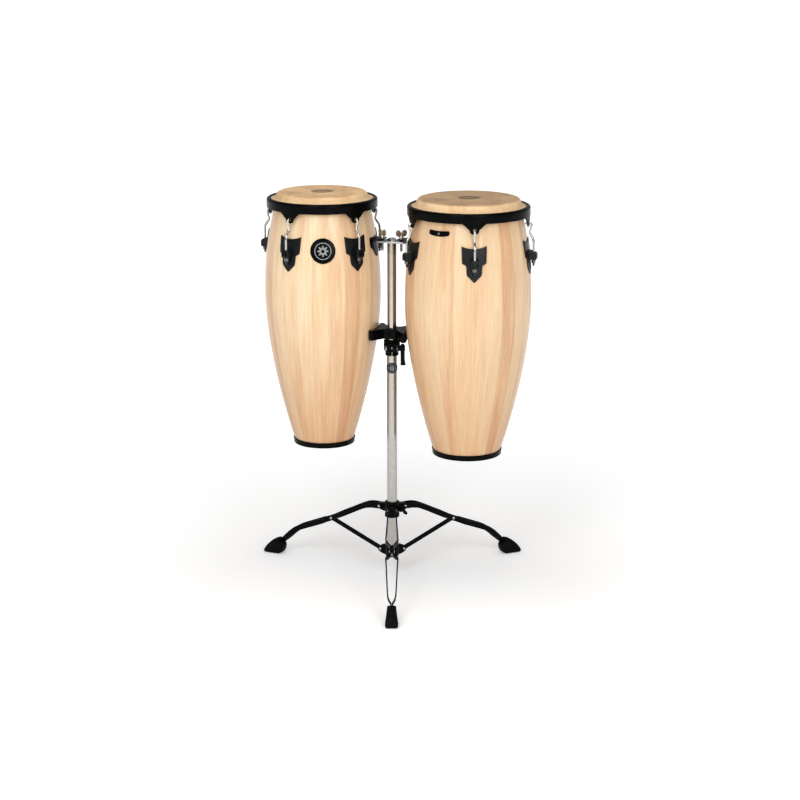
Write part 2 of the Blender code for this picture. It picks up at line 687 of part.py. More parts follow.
def crossbar(carrier):
    """A plate on the post's top, turned with the drum line, with a plug in the upper tube."""
    low = CROSSBAR_TOP - CROSSBAR_THICKNESS
    x, y, c = CROSSBAR_HALF_LENGTH, CROSSBAR_HALF_WIDTH, 0.006
    outline = [(-x + c, -y), (x - c, -y), (x, -y + c), (x, y - c)]
    outline += [(-a, -b) for a, b in outline]
    plate = prism("crossbar", outline, low, CROSSBAR_TOP)
    plug_r = UPPER_BORE_R * math.cos(math.pi / TUBE_SIDES) - GAP
    plug = rod("plug", plug_r, (0, 0, low - 0.03), (0, 0, low + 0.001), TUBE_SIDES)
    nut = rod("nut", 0.0125, (0, 0, CROSSBAR_TOP - 0.001), (0, 0, CROSSBAR_TOP + 0.0065), 6)
    holes = [
        rod("hole", bore(WING_BOLT_R, 12), (bolt_x, 0, low - 0.01), (bolt_x, 0, low + 0.02), 12)
        for bolt_x in (-WING_BOLT_X, WING_BOLT_X)
    ]
    hang(cut(united(plate, plug, nut), *holes), carrier, "steel", (0, 0, CROSSBAR_TOP))


def crossbar_bolts(carrier):
    flange = CROSSBAR_TOP + GAP + LEDGE_THICKNESS + GAP
    for side, word in ((-1, "small"), (1, "large")):
        frame = empty(f"{word}_bolt_turn", carrier, at=(side * WING_BOLT_X, 0, flange - CROSSBAR_TOP))
        bolt = wing_bolt(f"{word}_bracket_wing_bolt", 0.033, WING_BOLT_R, 0.026, 0.026)
        bolt.data.transform(Matrix.Rotation(math.radians(35 * side), 4, "Z"))
        hang(bolt, frame, "chrome")


def cradle_arc(drum, radius, half_angle, steps=6):
    """Points of an arc about a drum's axis that faces the post, in the carrier's plane."""
    axis_x = drum.side * axis_distance(drum)
    points = []
    for k in range(steps + 1):
        a = math.radians(half_angle * (2 * k / steps - 1))
        points.append((axis_x - drum.side * radius * math.cos(a), -drum.side * radius * math.sin(a)))
    return points


def cradle(carrier):
    """A block on the upper tube, hollowed to each shell and faced with a rubber pad."""
    low, high = CRADLE_BOTTOM, CRADLE_BOTTOM + CRADLE_HEIGHT
    inner = bore(UPPER_TUBE_R, TUBE_SIDES)
    outline = []
    for drum in (SMALL, LARGE):
        shell_r = max(shell_radius(drum, playing_face() - z) for z in (low, high))
        pad_r = shell_r + 2 * GAP
        back_r = pad_r + PAD_THICKNESS
        inside = cradle_arc(drum, pad_r, PAD_ARC)
        outside = cradle_arc(drum, back_r, PAD_ARC)
        pad = prism(f"{drum.name}_cradle_pad", inside + outside[::-1], low + 0.001, high - 0.001)
        hang(pad, carrier, "rubber", (0, 0, CROSSBAR_TOP))
        hollow = cradle_arc(drum, back_r + GAP, CRADLE_ARC)
        tips = cradle_arc(drum, back_r + GAP + CRADLE_TIP, CRADLE_ARC - 1.0, 1)
        waist = [(drum.side * 0.75 * CRADLE_HUB_R, y * CRADLE_HUB_R) for y in (-drum.side, drum.side)]
        ends = [waist[1], tips[0]] + hollow + [tips[1], waist[0]]
        outline += [(0, drum.side * 1.05 * CRADLE_HUB_R)] + ends
    body = prism("cradle", outline, low, high)
    hole = rod("hole", inner, (0, 0, low - 0.01), (0, 0, high + 0.01), TUBE_SIDES)
    hang(cut(body, hole), carrier, "black", (0, 0, CROSSBAR_TOP))


# ---------------------------------------------------------------- drums

def playing_face():
    return CROSSBAR_TOP + BAR_DEPTH


def shell_radius(drum, depth):
    """The shell's outer radius at a depth below the playing face."""
    if depth < drum.belly:
        share = (drum.belly - depth) / (drum.belly - EDGE_DEPTH)
        return drum.belly_r - (drum.belly_r - drum.edge_r) * share**TOP_BEND
    share = (depth - drum.belly) / (DRUM_HEIGHT - drum.belly)
    return drum.belly_r - (drum.belly_r - drum.foot_r) * share**BOTTOM_BEND


def axis_distance(drum):
    """From the post to a drum's axis: its shell stays post_gap away at the crossbar."""
    return shell_radius(drum, playing_face() - CROSSBAR_TOP) + drum.post_gap


def shell(drum, frame):
    """Staves glued to a barrel, open at both ends, with a rounded bearing edge."""
    top, bottom = HEAD_THICKNESS + GAP, DRUM_HEIGHT - BOTTOM_RING_LIP - GAP
    rise, fall = drum.belly - EDGE_DEPTH, bottom - drum.belly
    depths = [EDGE_DEPTH + share * rise for share in (0, 0.13, 0.30, 0.53, 0.75, 1)]
    depths += [drum.belly + share * fall for share in (0.22, 0.41, 0.60, 0.80)]
    edge = shell_radius(drum, top + 0.004)
    outside = [(edge - 0.004, -top), (edge, -top - 0.0035)]
    outside += [(shell_radius(drum, d), -d) for d in depths + [bottom]]
    inside = [(shell_radius(drum, d) - WALL, -d) for d in [bottom] + depths[::-1] + [top + 0.005]]
    hang(turned(f"{drum.name}_shell", outside + inside, DRUM_SIDES), frame, "wood")


def head(drum, frame):
    """A skin over the bearing edge, folded round the flesh hoop under the rim's lip."""
    near = GAP / math.cos(math.pi / DRUM_SIDES) + 0.0003
    top = HEAD_THICKNESS + GAP
    edge = shell_radius(drum, top + 0.004)
    under_lip = drum.rim_drop + 0.0030 + GAP
    rim_r = rim_radius(drum)
    hoop_out = rim_r - RIM_WALL - 2 * GAP
    side = shell_radius(drum, 0.013) + near
    hoop_in = shell_radius(drum, under_lip + 0.016) + 0.002
    profile = [
        (0, 0), (edge - 0.007, 0), (edge - 0.001, -0.0014), (edge + 0.0026, -0.0050),
        (side + HEAD_THICKNESS, -0.0110), (side + HEAD_THICKNESS + 0.004, -0.0140),
        (rim_r - RIM_LIP - 0.0015, -under_lip), (hoop_out - 0.001, -under_lip),
        (hoop_out, -under_lip - 0.001), (hoop_out, -under_lip - 0.014), (hoop_in, -under_lip - 0.014),
        (hoop_in, -under_lip - 0.003), (side, -0.0130), (edge + near, -top - 0.0034),
        (edge - 0.004 + near * 0.3, -HEAD_THICKNESS), (0, -HEAD_THICKNESS),
    ]
    hang(turned(f"{drum.name}_head", profile, DRUM_SIDES), frame, "skin")


def lug_azimuths(drum):
    """Lugs stand either side of the bracket, which is on the drum's +X side."""
    pitch = 360.0 / LUG_COUNT
    return [drum.lug_shift + pitch * (k + 0.5) for k in range(LUG_COUNT)]


def rim_radius(drum):
    """The rim's outer radius, which lets the tips of its ears clear the shell."""
    return shell_radius(drum, drum.rim_drop + RIM_HEIGHT + EAR_DEPTH) + RIM_STANDOFF


def rim(drum, frame):
    """A steel band whose lip bears on the flesh hoop, with an ear for each hook."""
    out = rim_radius(drum)
    wall_in = out - RIM_WALL
    lip_in = out - RIM_LIP
    top, low = -drum.rim_drop, -drum.rim_drop - RIM_HEIGHT
    profile = [
        (lip_in, top - 0.0028), (lip_in, top - 0.0008), (lip_in + 0.001, top), (out - 0.0045, top),
        (out - 0.0013, top - 0.0014), (out, top - 0.005), (out, low + 0.0015), (out - 0.0015, low),
        (wall_in, low), (wall_in, top - 0.0028),
    ]
    band = turned(f"{drum.name}_rim", profile, DRUM_SIDES)
    ears, holes = [], []
    ear_in = wall_in + GAP
    for azimuth in lug_azimuths(drum):
        shape = [
            (-0.005, 1.02), (0.0, 1.0), (0.36 * EAR_DEPTH, 0.62), (0.52 * EAR_DEPTH, 0.42),
            (0.86 * EAR_DEPTH, 0.32), (EAR_DEPTH, 0.15),
        ]
        rows = [even_row(down - low, share * EAR_HALF_WIDTH, steps=5) for down, share in shape]
        ear = wrapped("ear", rows, lambda depth: ear_in, 0, EAR_SHEET)
        z = low - 0.60 * EAR_DEPTH
        hole = rod("hole", HOOK_R + 0.0016, (wall_in - 0.02, 0, z), (out + 0.02, 0, z))
        ears += turned_pieces([ear], azimuth)
        holes += turned_pieces([hole], azimuth)
    hang(cut(united(band, *ears), *holes), frame, "black")


def bottom_ring(drum, frame):
    """A black ring that the shell's lower end sits in."""
    low, high = -DRUM_HEIGHT, -DRUM_HEIGHT + BOTTOM_RING_HEIGHT
    clear = 2 * GAP
    at_low = shell_radius(drum, DRUM_HEIGHT - BOTTOM_RING_LIP) + clear
    at_high = shell_radius(drum, DRUM_HEIGHT - BOTTOM_RING_HEIGHT) + clear
    lip = -DRUM_HEIGHT + BOTTOM_RING_LIP
    foot = at_low + BOTTOM_RING_WALL
    profile = [
        (at_low - WALL, low), (foot + 0.0010, low), (foot + 0.0022, low + 0.0015),
        (at_high + BOTTOM_RING_WALL - 0.0006, high - 0.001), (at_high + 0.0008, high), (at_high, high),
        (at_low, lip), (at_low - WALL, lip),
    ]
    hang(turned(f"{drum.name}_bottom_ring", profile, DRUM_SIDES), frame, "black")


def lug_plates(drum, frame):
    """Plates bent to the shell, each with a block that a hook's end passes through."""
    def on_shell(depth):
        return shell_radius(drum, depth)

    top, height, half = LUG_TOP, LUG_HEIGHT, LUG_HALF_WIDTH
    narrow = 0.64 * half
    dip = 0.08 * height
    rows = [
        even_row(top, half, dip), even_row(top + 0.16 * height, half, dip * 0.7),
        even_row(top + 0.31 * height, half, dip * 0.3), even_row(top + 0.47 * height, half),
        even_row(top + 0.56 * height, narrow), even_row(top + 0.80 * height, narrow * 0.97),
        even_row(top + height, 0.09 * half),
    ]
    plate = wrapped("lug", rows, on_shell, GAP, LUG_THICKNESS)
    low = top + LUG_BLOCK_TOP + LUG_BLOCK_HEIGHT
    middle = top + LUG_BLOCK_TOP + LUG_BLOCK_HEIGHT / 2
    surface = on_shell(middle)
    rise = on_shell(low) - on_shell(low - LUG_BLOCK_HEIGHT)
    seat = surface + rise / 2 + GAP + 0.0012
    face = surface + LUG_BLOCK_DEPTH
    block_side = [
        (seat, -low), (face - 0.002, -low), (face, -low + 0.002), (face, -low + 0.65 * LUG_BLOCK_HEIGHT),
        (face - 0.004, -low + LUG_BLOCK_HEIGHT), (seat, -low + LUG_BLOCK_HEIGHT + 0.004),
    ]
    knuckle = prism("knuckle", block_side, -LUG_BLOCK_HALF, LUG_BLOCK_HALF, "XZ")
    rod_r = surface + ROD_STANDOFF
    hole = rod("hole", bore(HOOK_R, PIN_SIDES) + 0.0004, (rod_r, 0, -low - 0.01), (rod_r, 0, -top))
    plate = cut(united(plate, knuckle), hole)
    for number, azimuth in enumerate(lug_azimuths(drum), 1):
        hang(copy_turned(plate, f"{drum.name}_lug_plate_{number}", azimuth), frame, "black")
    bpy.data.objects.remove(plate, do_unlink=True)


def smooth_path(points, steps):
    """Points along the curve through the given ones, which both ends keep."""
    path = []
    padded = [points[0]] + points + [points[-1]]
    for a, b, c, d in zip(padded, padded[1:], padded[2:], padded[3:]):
        for k in range(steps):
            t = k / steps
            path.append(tuple(
                0.5 * (
                    2 * q + (r - p) * t
                    + (2 * p - 5 * q + 4 * r - s) * t**2 + (3 * q - p - 3 * r + s) * t**3
                )
                for p, q, r, s in zip(a, b, c, d)
            ))
    return path + [points[-1]]


def tension_hooks(drum, frame):
    """Bent wire from each ear down through its lug, with a hexagon nut under the block."""
    out = rim_radius(drum)
    eye = -drum.rim_drop - RIM_HEIGHT - 0.60 * EAR_DEPTH
    middle = LUG_TOP + LUG_BLOCK_TOP + LUG_BLOCK_HEIGHT / 2
    rod_r = shell_radius(drum, middle) + ROD_STANDOFF
    under = -(LUG_TOP + LUG_BLOCK_TOP + LUG_BLOCK_HEIGHT) - GAP
    bends = [
        (out - RIM_WALL - 0.0065, eye - 0.004), (out - 0.0035, eye), (out + 0.0035, eye - 0.0006),
        (out + 0.0065, eye - 0.0080), (out + 0.0035, eye - 0.0200), (out + 0.0030, eye - 0.0290),
        (rod_r - 0.0025, eye - 0.0430), (rod_r, eye - 0.0540), (rod_r, -LUG_TOP - LUG_BLOCK_TOP),
    ]
    path = smooth_path(bends, 1)
    radii = [HOOK_R] * len(path)
    for z, radius in (
        (under, HOOK_R), (under - 0.00002, NUT_R), (under - NUT_HEIGHT, NUT_R),
        (under - NUT_HEIGHT - 0.00002, HOOK_R), (under - NUT_HEIGHT - 0.006, HOOK_R),
    ):
        path.append((rod_r, z))
        radii.append(radius)
    hook = wire("hook", path, radii)
    for number, azimuth in enumerate(lug_azimuths(drum), 1):
        hang(copy_turned(hook, f"{drum.name}_tension_hook_{number}", azimuth), frame, "chrome")
    bpy.data.objects.remove(hook, do_unlink=True)


def mount_bracket(drum, frame):
    """A plate on the shell with a slotted ledge that lies on the crossbar under a wing bolt."""
    def on_shell(depth):
        return shell_radius(drum, depth)

    level = playing_face() - CROSSBAR_TOP - GAP - LEDGE_THICKNESS
    half = LUG_HALF_WIDTH
    rows = [
        even_row(level - 0.006, 0.92 * half), even_row(level, half), even_row(level + 0.020, half),
        even_row(level + 0.027, 0.62 * half), even_row(level + BRACKET_DROP, 0.15 * half),
    ]
    plate = wrapped(f"{drum.name}_mount_bracket", rows, on_shell, GAP, BRACKET_THICKNESS)
    post_x = axis_distance(drum)
    root = on_shell(level + LEDGE_THICKNESS) + 0.0018
    tip = post_x - WING_BOLT_X + 0.0085
    y = LEDGE_HALF_WIDTH
    outline = [
        (root, -y), (tip - 0.004, -y), (tip, -y + 0.004), (tip, y - 0.004), (tip - 0.004, y), (root, y),
    ]
    ledge = prism("ledge", outline, -level - LEDGE_THICKNESS, -level)
    slot_r = WING_BOLT_R + 0.0007
    bolt_x = post_x - WING_BOLT_X
    notch = block("notch", (bolt_x, -slot_r, -level - 0.01), (tip + 0.01, slot_r, -level + 0.01))
    low, high = (bolt_x, 0, -level - 0.011), (bolt_x, 0, -level + 0.011)
    seat = rod("seat", slot_r / math.cos(math.pi / 12), low, high, 12)
    hang(cut(united(plate, ledge), united(notch, seat)), frame, "black")


def badge(drum, frame):
    """A round plate on the small shell and a lens-shaped one under the large drum's rim."""
    def on_shell(depth):
        return shell_radius(drum, depth)

    if drum is SMALL:
        half_width, half_height, depth = 0.034, 0.034, 0.140
    else:
        half_width, half_height, depth = 0.031, 0.0095, 0.0745
    rows = []
    for k in range(6):
        turn = math.radians(-75 + 30 * k)
        rows.append(even_row(depth + half_height * math.sin(turn), half_width * math.cos(turn)))
    plate = wrapped(f"{drum.name}_badge", rows, on_shell, GAP, 0.0012)
    bay = 360.0 / LUG_COUNT
    plate.data.transform(Matrix.Rotation(math.radians(drum.lug_shift + drum.side * bay), 4, "Z"))
    hang(plate, frame, "black")


def drum_on_stand(drum, carrier):
    """One whole drum in a frame whose +X side faces the post and whose zero is its playing face."""
    at = (drum.side * axis_distance(drum), 0, playing_face() - CROSSBAR_TOP)
    frame = empty(f"{drum.name}_drum_slide", carrier, at=at, turn=180.0 if drum.side > 0 else 0.0)
    shell(drum, frame)
    head(drum, frame)
    rim(drum, frame)
    bottom_ring(drum, frame)
    lug_plates(drum, frame)
    tension_hooks(drum, frame)
    mount_bracket(drum, frame)
    badge(drum, frame)


# ---------------------------------------------------------------- assembly

def stand_on_origin(stand):
    """Moves the whole model so that the middle of its box's underside is the origin."""
    bpy.context.view_layer.update()
    corners = [
        piece.matrix_world @ Vector(corner)
        for piece in bpy.context.scene.objects if piece.type == "MESH"
        for corner in (v.co for v in piece.data.vertices)
    ]
    low = [min(c[axis] for c in corners) for axis in range(3)]
    high = [max(c[axis] for c in corners) for axis in range(3)]
    stand.location = (-(low[0] + high[0]) / 2, -(low[1] + high[1]) / 2, -low[2])


def main():
    clear_scene()
    stand = empty("stand")
    tripod(stand)
    slide = post(stand)
    stand_emblem(stand)
    carrier = empty("post_swivel", slide, at=(0, 0, CROSSBAR_TOP - TUBE_TOP), turn=BAR_LINE_TURN)
    crossbar(carrier)
    crossbar_bolts(carrier)
    cradle(carrier)
    for drum in (SMALL, LARGE):
        drum_on_stand(drum, carrier)
    stand_on_origin(stand)
    travel, turn = fold()
    print(f"collar travel {travel:.4f} m, arms turn {turn:.2f} degrees")


main()
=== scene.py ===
# %% [markdown]
# # Conga drums on a double stand
# Two barrel-shaped drums hang from a crossbar at the top of a telescopic post, lean on a padded
# cradle, and stand on a folding tripod. The frame holds every part at its size and place. This
# lesson makes the fine surface of each part, one after another, and paints it.

# %% Load the frame
import json
import math

import bpy
from mathutils import Matrix, Vector

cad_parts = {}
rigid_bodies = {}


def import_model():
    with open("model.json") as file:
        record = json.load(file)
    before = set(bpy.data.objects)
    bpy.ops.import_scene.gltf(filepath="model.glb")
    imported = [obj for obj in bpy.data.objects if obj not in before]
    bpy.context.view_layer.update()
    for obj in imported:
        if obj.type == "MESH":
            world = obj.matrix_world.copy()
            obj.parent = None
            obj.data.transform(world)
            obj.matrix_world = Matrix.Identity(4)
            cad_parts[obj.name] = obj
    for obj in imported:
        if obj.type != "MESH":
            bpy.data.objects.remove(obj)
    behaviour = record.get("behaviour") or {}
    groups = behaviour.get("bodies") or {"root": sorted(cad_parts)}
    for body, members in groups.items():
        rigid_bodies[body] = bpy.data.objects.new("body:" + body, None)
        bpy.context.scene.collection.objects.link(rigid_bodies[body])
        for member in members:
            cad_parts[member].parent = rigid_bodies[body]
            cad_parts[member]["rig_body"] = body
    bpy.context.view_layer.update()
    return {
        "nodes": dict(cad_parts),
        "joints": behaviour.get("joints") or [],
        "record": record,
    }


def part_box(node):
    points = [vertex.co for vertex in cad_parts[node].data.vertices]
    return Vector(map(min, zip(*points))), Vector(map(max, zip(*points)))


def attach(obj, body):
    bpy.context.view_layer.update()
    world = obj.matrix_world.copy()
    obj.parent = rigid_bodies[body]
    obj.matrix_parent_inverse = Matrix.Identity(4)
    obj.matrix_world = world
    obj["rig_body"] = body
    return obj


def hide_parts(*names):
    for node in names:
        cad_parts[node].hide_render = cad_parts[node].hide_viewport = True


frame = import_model()
NODES = frame["nodes"]
JOINTS = {joint["name"]: joint for joint in frame["joints"]}
SLOTS = {part["node"]: part["material_slot"] for part in frame["record"]["subparts"]}

# %% [markdown]
# ## Where things are
# The post is the line that everything hangs on. A drum gets a place of its own: its zero is the
# middle of the playing face, and its +X side faces the post. A piece can then be drawn upright
# round the origin and moved to its drum in one step.

# %% Post line and drum places
DRUMS = ("small", "large")
low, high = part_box("lower_tube")
POST = Matrix.Translation(((low.x + high.x) / 2, (low.y + high.y) / 2, 0))
TUBE_R = (high.x - low.x) / 2


def drum_place(word):
    """Moves a piece drawn round the origin to its drum."""
    low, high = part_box(f"{word}_head")
    away = JOINTS[f"{word}_drum_slide"]["axis"]
    middle = Matrix.Translation(((low.x + high.x) / 2, (low.y + high.y) / 2, high.z))
    return middle @ Matrix.Rotation(math.atan2(-away[1], -away[0]), 4, "Z")


PLACES = {word: drum_place(word) for word in DRUMS}
CARRIER = POST @ PLACES["small"].to_3x3().to_4x4()
print("post", [round(value, 4) for value in POST.translation])

# %% [markdown]
# ## The barrel's curve
# Both shells swell to a belly and narrow again to the foot. The frame's shell has only a dozen
# rings, so two power curves are run through its narrow ends and its belly. They give a radius
# at any depth below the playing face, for the shell and for all that is bolted to it.

# %% Radius of each shell
TOP_BEND = 2.2
BOTTOM_BEND = 1.65
BELOW_EDGE = 0.015


def barrel(word):
    """A function from depth to outer radius, measured from the frame's shell."""
    to_drum = PLACES[word].inverted()
    rings = {}
    for vertex in NODES[f"{word}_shell"].data.vertices:
        point = to_drum @ vertex.co
        depth = round(-point.z, 4)
        rings[depth] = max(rings.get(depth, 0.0), math.hypot(point.x, point.y))
    rings = sorted(ring for ring in rings.items() if ring[0] > BELOW_EDGE)
    top, top_r = rings[0]
    foot, foot_r = rings[-1]
    belly, belly_r = max(rings, key=lambda ring: ring[1])

    def radius(depth):
        if depth < belly:
            return belly_r - (belly_r - top_r) * ((belly - depth) / (belly - top)) ** TOP_BEND
        return belly_r - (belly_r - foot_r) * ((depth - belly) / (foot - belly)) ** BOTTOM_BEND

    print(word, "belly radius", round(belly_r, 4), "at", belly)
    return radius


SHELL_R = {word: barrel(word) for word in DRUMS}
DRUM_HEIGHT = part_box("small_head")[1].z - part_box("small_bottom_ring")[0].z

# %% [markdown]
# ## Modelling tools
# Blender's operators act on what is selected, so each helper deselects everything first. A
# mesh leaves edit mode closed, with its doubles merged and its faces pointing out, and is
# then shaded smooth up to an angle.

# %% Selecting and shading
SMOOTH_ANGLE = 38


def pick(piece, *others):
    """Selects the pieces and nothing else, and makes the first one active."""
    bpy.ops.object.select_all(action="DESELECT")
    for other in (piece, *others):
        other.select_set(True)
    bpy.context.view_layer.objects.active = piece
    return piece


def edit(piece):
    """Enters edit mode with everything selected."""
    pick(piece)
    bpy.ops.object.mode_set(mode="EDIT")
    bpy.ops.mesh.select_all(action="SELECT")


def closed(piece):
    """Leaves edit mode with doubles merged and every face pointing out."""
    bpy.ops.mesh.select_all(action="SELECT")
    bpy.ops.mesh.remove_doubles(threshold=1e-6)
    bpy.ops.mesh.delete_loose()
    bpy.ops.mesh.select_all(action="SELECT")
    bpy.ops.mesh.normals_make_consistent(inside=False)
    bpy.ops.object.mode_set(mode="OBJECT")
    return smooth(piece)


def smooth(piece, degrees=SMOOTH_ANGLE):
    """Shades gentle edges smooth and leaves sharper ones crisp."""
    pick(piece)
    bpy.ops.object.shade_smooth_by_angle(angle=math.radians(degrees))
    return piece


print("edges under", SMOOTH_ANGLE, "degrees are shaded smooth")

# %% [markdown]
# ### Rounding and cutting
# A modifier is added and applied at once, so that the mesh is final and the next step can
# work on it. A bevel does the work of a file, and a boolean that of a drill.

# %% Rounding and cutting
def applied(piece, kind, **settings):
    """Adds one modifier and applies it."""
    step = piece.modifiers.new(kind.lower(), kind)
    for name, value in settings.items():
        setattr(step, name, value)
    pick(piece)
    bpy.ops.object.modifier_apply(modifier=step.name)
    return piece


def eased(piece, width, segments=2, degrees=40):
    """Rounds the sharp edges."""
    applied(
        piece, "BEVEL", width=width, segments=segments, limit_method="ANGLE",
        angle_limit=math.radians(degrees), harden_normals=False,
    )
    return smooth(piece)


def carved(piece, *cutters):
    """Cuts the cutters out of the piece and removes them."""
    for cutter in cutters:
        applied(piece, "BOOLEAN", operation="DIFFERENCE", object=cutter)
        bpy.data.objects.remove(cutter, do_unlink=True)
    return smooth(piece)


# %% [markdown]
# ### Joining, moving and copying
# A piece is drawn round the origin and then moved by its points, so that the object itself
# stays at zero. A copy gets a mesh of its own.

# %% Joining, moving and copying
def joined(piece, *others):
    pick(piece, *others)
    bpy.ops.object.join()
    return piece


def moved(piece, matrix):
    piece.data.transform(matrix)
    return piece


def copied(piece, matrix):
    """Another piece with its own mesh, drawn elsewhere."""
    made = piece.copy()
    made.data = piece.data.copy()
    bpy.context.collection.objects.link(made)
    return moved(made, matrix)


def turn(degrees, axis="Z"):
    return Matrix.Rotation(math.radians(degrees), 4, axis)


def at(x, y, z):
    return Matrix.Translation((x, y, z))


# %% [markdown]
# ### Turned, pressed and drawn stock
# A lathe spins an outline about the Z axis, as a wood or metal lathe does. A plate is an
# outline pushed up to its thickness. A rod is a cylinder stretched between two points.

# %% Lathe, plate, rod and block
def lathe(outline, steps=96):
    """Spins a closed outline of (radius, height) points about the Z axis."""
    bpy.ops.object.select_all(action="DESELECT")
    bpy.ops.mesh.primitive_circle_add(vertices=len(outline), radius=0.01)
    piece = bpy.context.object
    for vertex, (radius, height) in zip(piece.data.vertices, outline):
        vertex.co = (radius, 0, height)
    edit(piece)
    bpy.ops.mesh.spin(steps=steps, angle=math.tau, center=(0, 0, 0), axis=(0, 0, 1))
    return closed(piece)


def plate(outline, low, high):
    """A flat outline in XY, pushed up from low to high."""
    bpy.ops.object.select_all(action="DESELECT")
    bpy.ops.mesh.primitive_circle_add(vertices=len(outline), radius=0.01, fill_type="NGON")
    piece = bpy.context.object
    for vertex, (x, y) in zip(piece.data.vertices, outline):
        vertex.co = (x, y, low)
    edit(piece)
    bpy.ops.mesh.extrude_region_move(TRANSFORM_OT_translate={"value": (0, 0, high - low)})
    return closed(piece)


def upright(outline, half):
    """A flat outline in XZ, as thick as two halves along Y."""
    return moved(plate(outline, -half, half), turn(90, "X"))


def rod(start, end, radius, sides=24):
    """A round bar between two points."""
    start, end = Vector(start), Vector(end)
    along = end - start
    bpy.ops.object.select_all(action="DESELECT")
    bpy.ops.mesh.primitive_cylinder_add(vertices=sides, radius=radius, depth=along.length)
    piece = bpy.context.object
    moved(piece, at(*((start + end) / 2)) @ along.to_track_quat("Z", "Y").to_matrix().to_4x4())
    return smooth(piece)


def block(low, high):
    """A box between two corners."""
    bpy.ops.object.select_all(action="DESELECT")
    bpy.ops.mesh.primitive_cube_add(size=1)
    piece = bpy.context.object
    low, high = Vector(low), Vector(high)
    return moved(piece, Matrix.Translation((low + high) / 2) @ Matrix.Diagonal((*(high - low), 1)))


# %% [markdown]
# ### Washers and buttons
# The same two turned shapes come back all over the hardware: a flat ring under a nut, and a
# round end with a bevel. Each gets a name and its few sizes, and is spun on the lathe.

# %% Washers and buttons
def washer(inner, outer, height, steps):
    """A flat ring with its outer edges eased."""
    edge = outer + 0.0003
    side = [(outer, 0), (edge, 0.0003), (edge, height - 0.0002), (outer, height)]
    return lathe([(inner, 0), *side, (inner, height)], steps)


def button(radius, shoulder, crown, height, steps):
    """A round end or screw head: straight to its shoulder, then in to its crown."""
    return lathe([(0, 0), (radius, 0), (radius, shoulder), (crown, height), (0, height)], steps)


# %% [markdown]
# ### Lofted and bent stock
# A loft rolls up a grid, ring by ring, which suits bent bars and moulded shoes. A bent plate
# is a grid laid on a shell and then made thick, as a pressed plate is formed to a drum.

# %% Loft and bent plate
def grid_of(columns, rows):
    """A grid whose points are listed row by row."""
    bpy.ops.object.select_all(action="DESELECT")
    bpy.ops.mesh.primitive_grid_add(x_subdivisions=columns, y_subdivisions=rows, size=1)
    piece = bpy.context.object
    points = sorted(piece.data.vertices, key=lambda v: (round(v.co.y, 5), round(v.co.x, 5)))
    return piece, points


def loft(rings):
    """A closed body through rings of points, with flat ends."""
    around = len(rings[0])
    piece, points = grid_of(around, len(rings) - 1)
    for k, vertex in enumerate(points):
        row, column = divmod(k, around + 1)
        vertex.co = rings[row][column % around]
    edit(piece)
    bpy.ops.mesh.remove_doubles(threshold=1e-7)
    bpy.ops.mesh.select_all(action="SELECT")
    bpy.ops.mesh.fill_holes(sides=0)
    return closed(piece)


def bent_plate(rows, radius_at, thickness, lift=0.0004, columns=14, ease=0.0008):
    """Rows of (depth, half width, sag) from top to bottom, laid on a shell round +X."""
    piece, points = grid_of(columns, len(rows) - 1)
    for k, vertex in enumerate(points):
        row, column = divmod(k, columns + 1)
        depth, half, sag = rows[len(rows) - 1 - row]
        share = 2 * column / columns - 1
        depth += sag * (1 - share * share)
        radius = radius_at(depth)
        angle = share * half / radius
        vertex.co = ((radius + lift) * math.cos(angle), (radius + lift) * math.sin(angle), -depth)
    applied(piece, "SOLIDIFY", thickness=thickness, offset=1.0, use_even_offset=True)
    return eased(piece, ease)


def through(points, steps=6):
    """Points along the smooth curve through the given ones."""
    path = []
    padded = [points[0], *points, points[-1]]
    for p, q, r, s in zip(padded, padded[1:], padded[2:], padded[3:]):
        for k in range(steps):
            t = k / steps
            path.append(tuple(
                b + (c - a) * t / 2 + (2 * a - 5 * b + 4 * c - d) * t**2 / 2
                + (3 * b - a - 3 * c + d) * t**3 / 2
                for a, b, c, d in zip(p, q, r, s)
            ))
    return path + [tuple(points[-1])]


def arc(cx, cy, radius, start, end, steps=5):
    """Points of a round stretch of an outline, between two angles in degrees."""
    angles = [math.radians(start + (end - start) * k / steps) for k in range(steps + 1)]
    return [(cx + radius * math.cos(a), cy + radius * math.sin(a)) for a in angles]


# %% [markdown]
# ### Standing in for a part
# The frame keeps its plain parts. A finished piece says which body it rides on and which part it
# is shown for, and the frame hides the plain part.

# %% Putting a piece in a part's stead
def takes_over(piece, node, *finishes):
    """The piece is shown for a part of the frame, and moves with it."""
    piece.name = f"{node}_finished"
    piece.data.name = piece.name
    return dressed(piece, NODES[node]["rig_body"], SLOTS[node], *finishes, nodes=[node])


def dressed(piece, body, slot, *finishes, nodes=()):
    """Gives a piece its finishes and its body. The slot is not used."""
    for k, finish in enumerate(finishes):
        if k < len(piece.data.materials):
            piece.data.materials[k] = finish
        else:
            piece.data.materials.append(finish)
    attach(piece, body)
    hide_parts(*nodes)
    return piece


def say(node_name):
    """Prints the size of the piece made for a part."""
    corners = [vertex.co for vertex in bpy.data.objects[f"{node_name}_finished"].data.vertices]
    size = [max(c[k] for c in corners) - min(c[k] for c in corners) for k in range(3)]
    print(node_name, [round(side * 1000, 1) for side in size], "mm")


def paint_where(piece, number, test):
    """Gives the faces that pass the test another of the piece's finishes."""
    for face in piece.data.polygons:
        if test(face):
            face.material_index = number


# %% [markdown]
# ## Finishes
# Every finish starts from the Principled shader. Colour, roughness and bump come from noise in
# Object coordinates, in metres, so that a grain is the same size on a small piece as on a large
# one. What is the same all over a surface, such as a lacquer's gloss, is set on the shader.

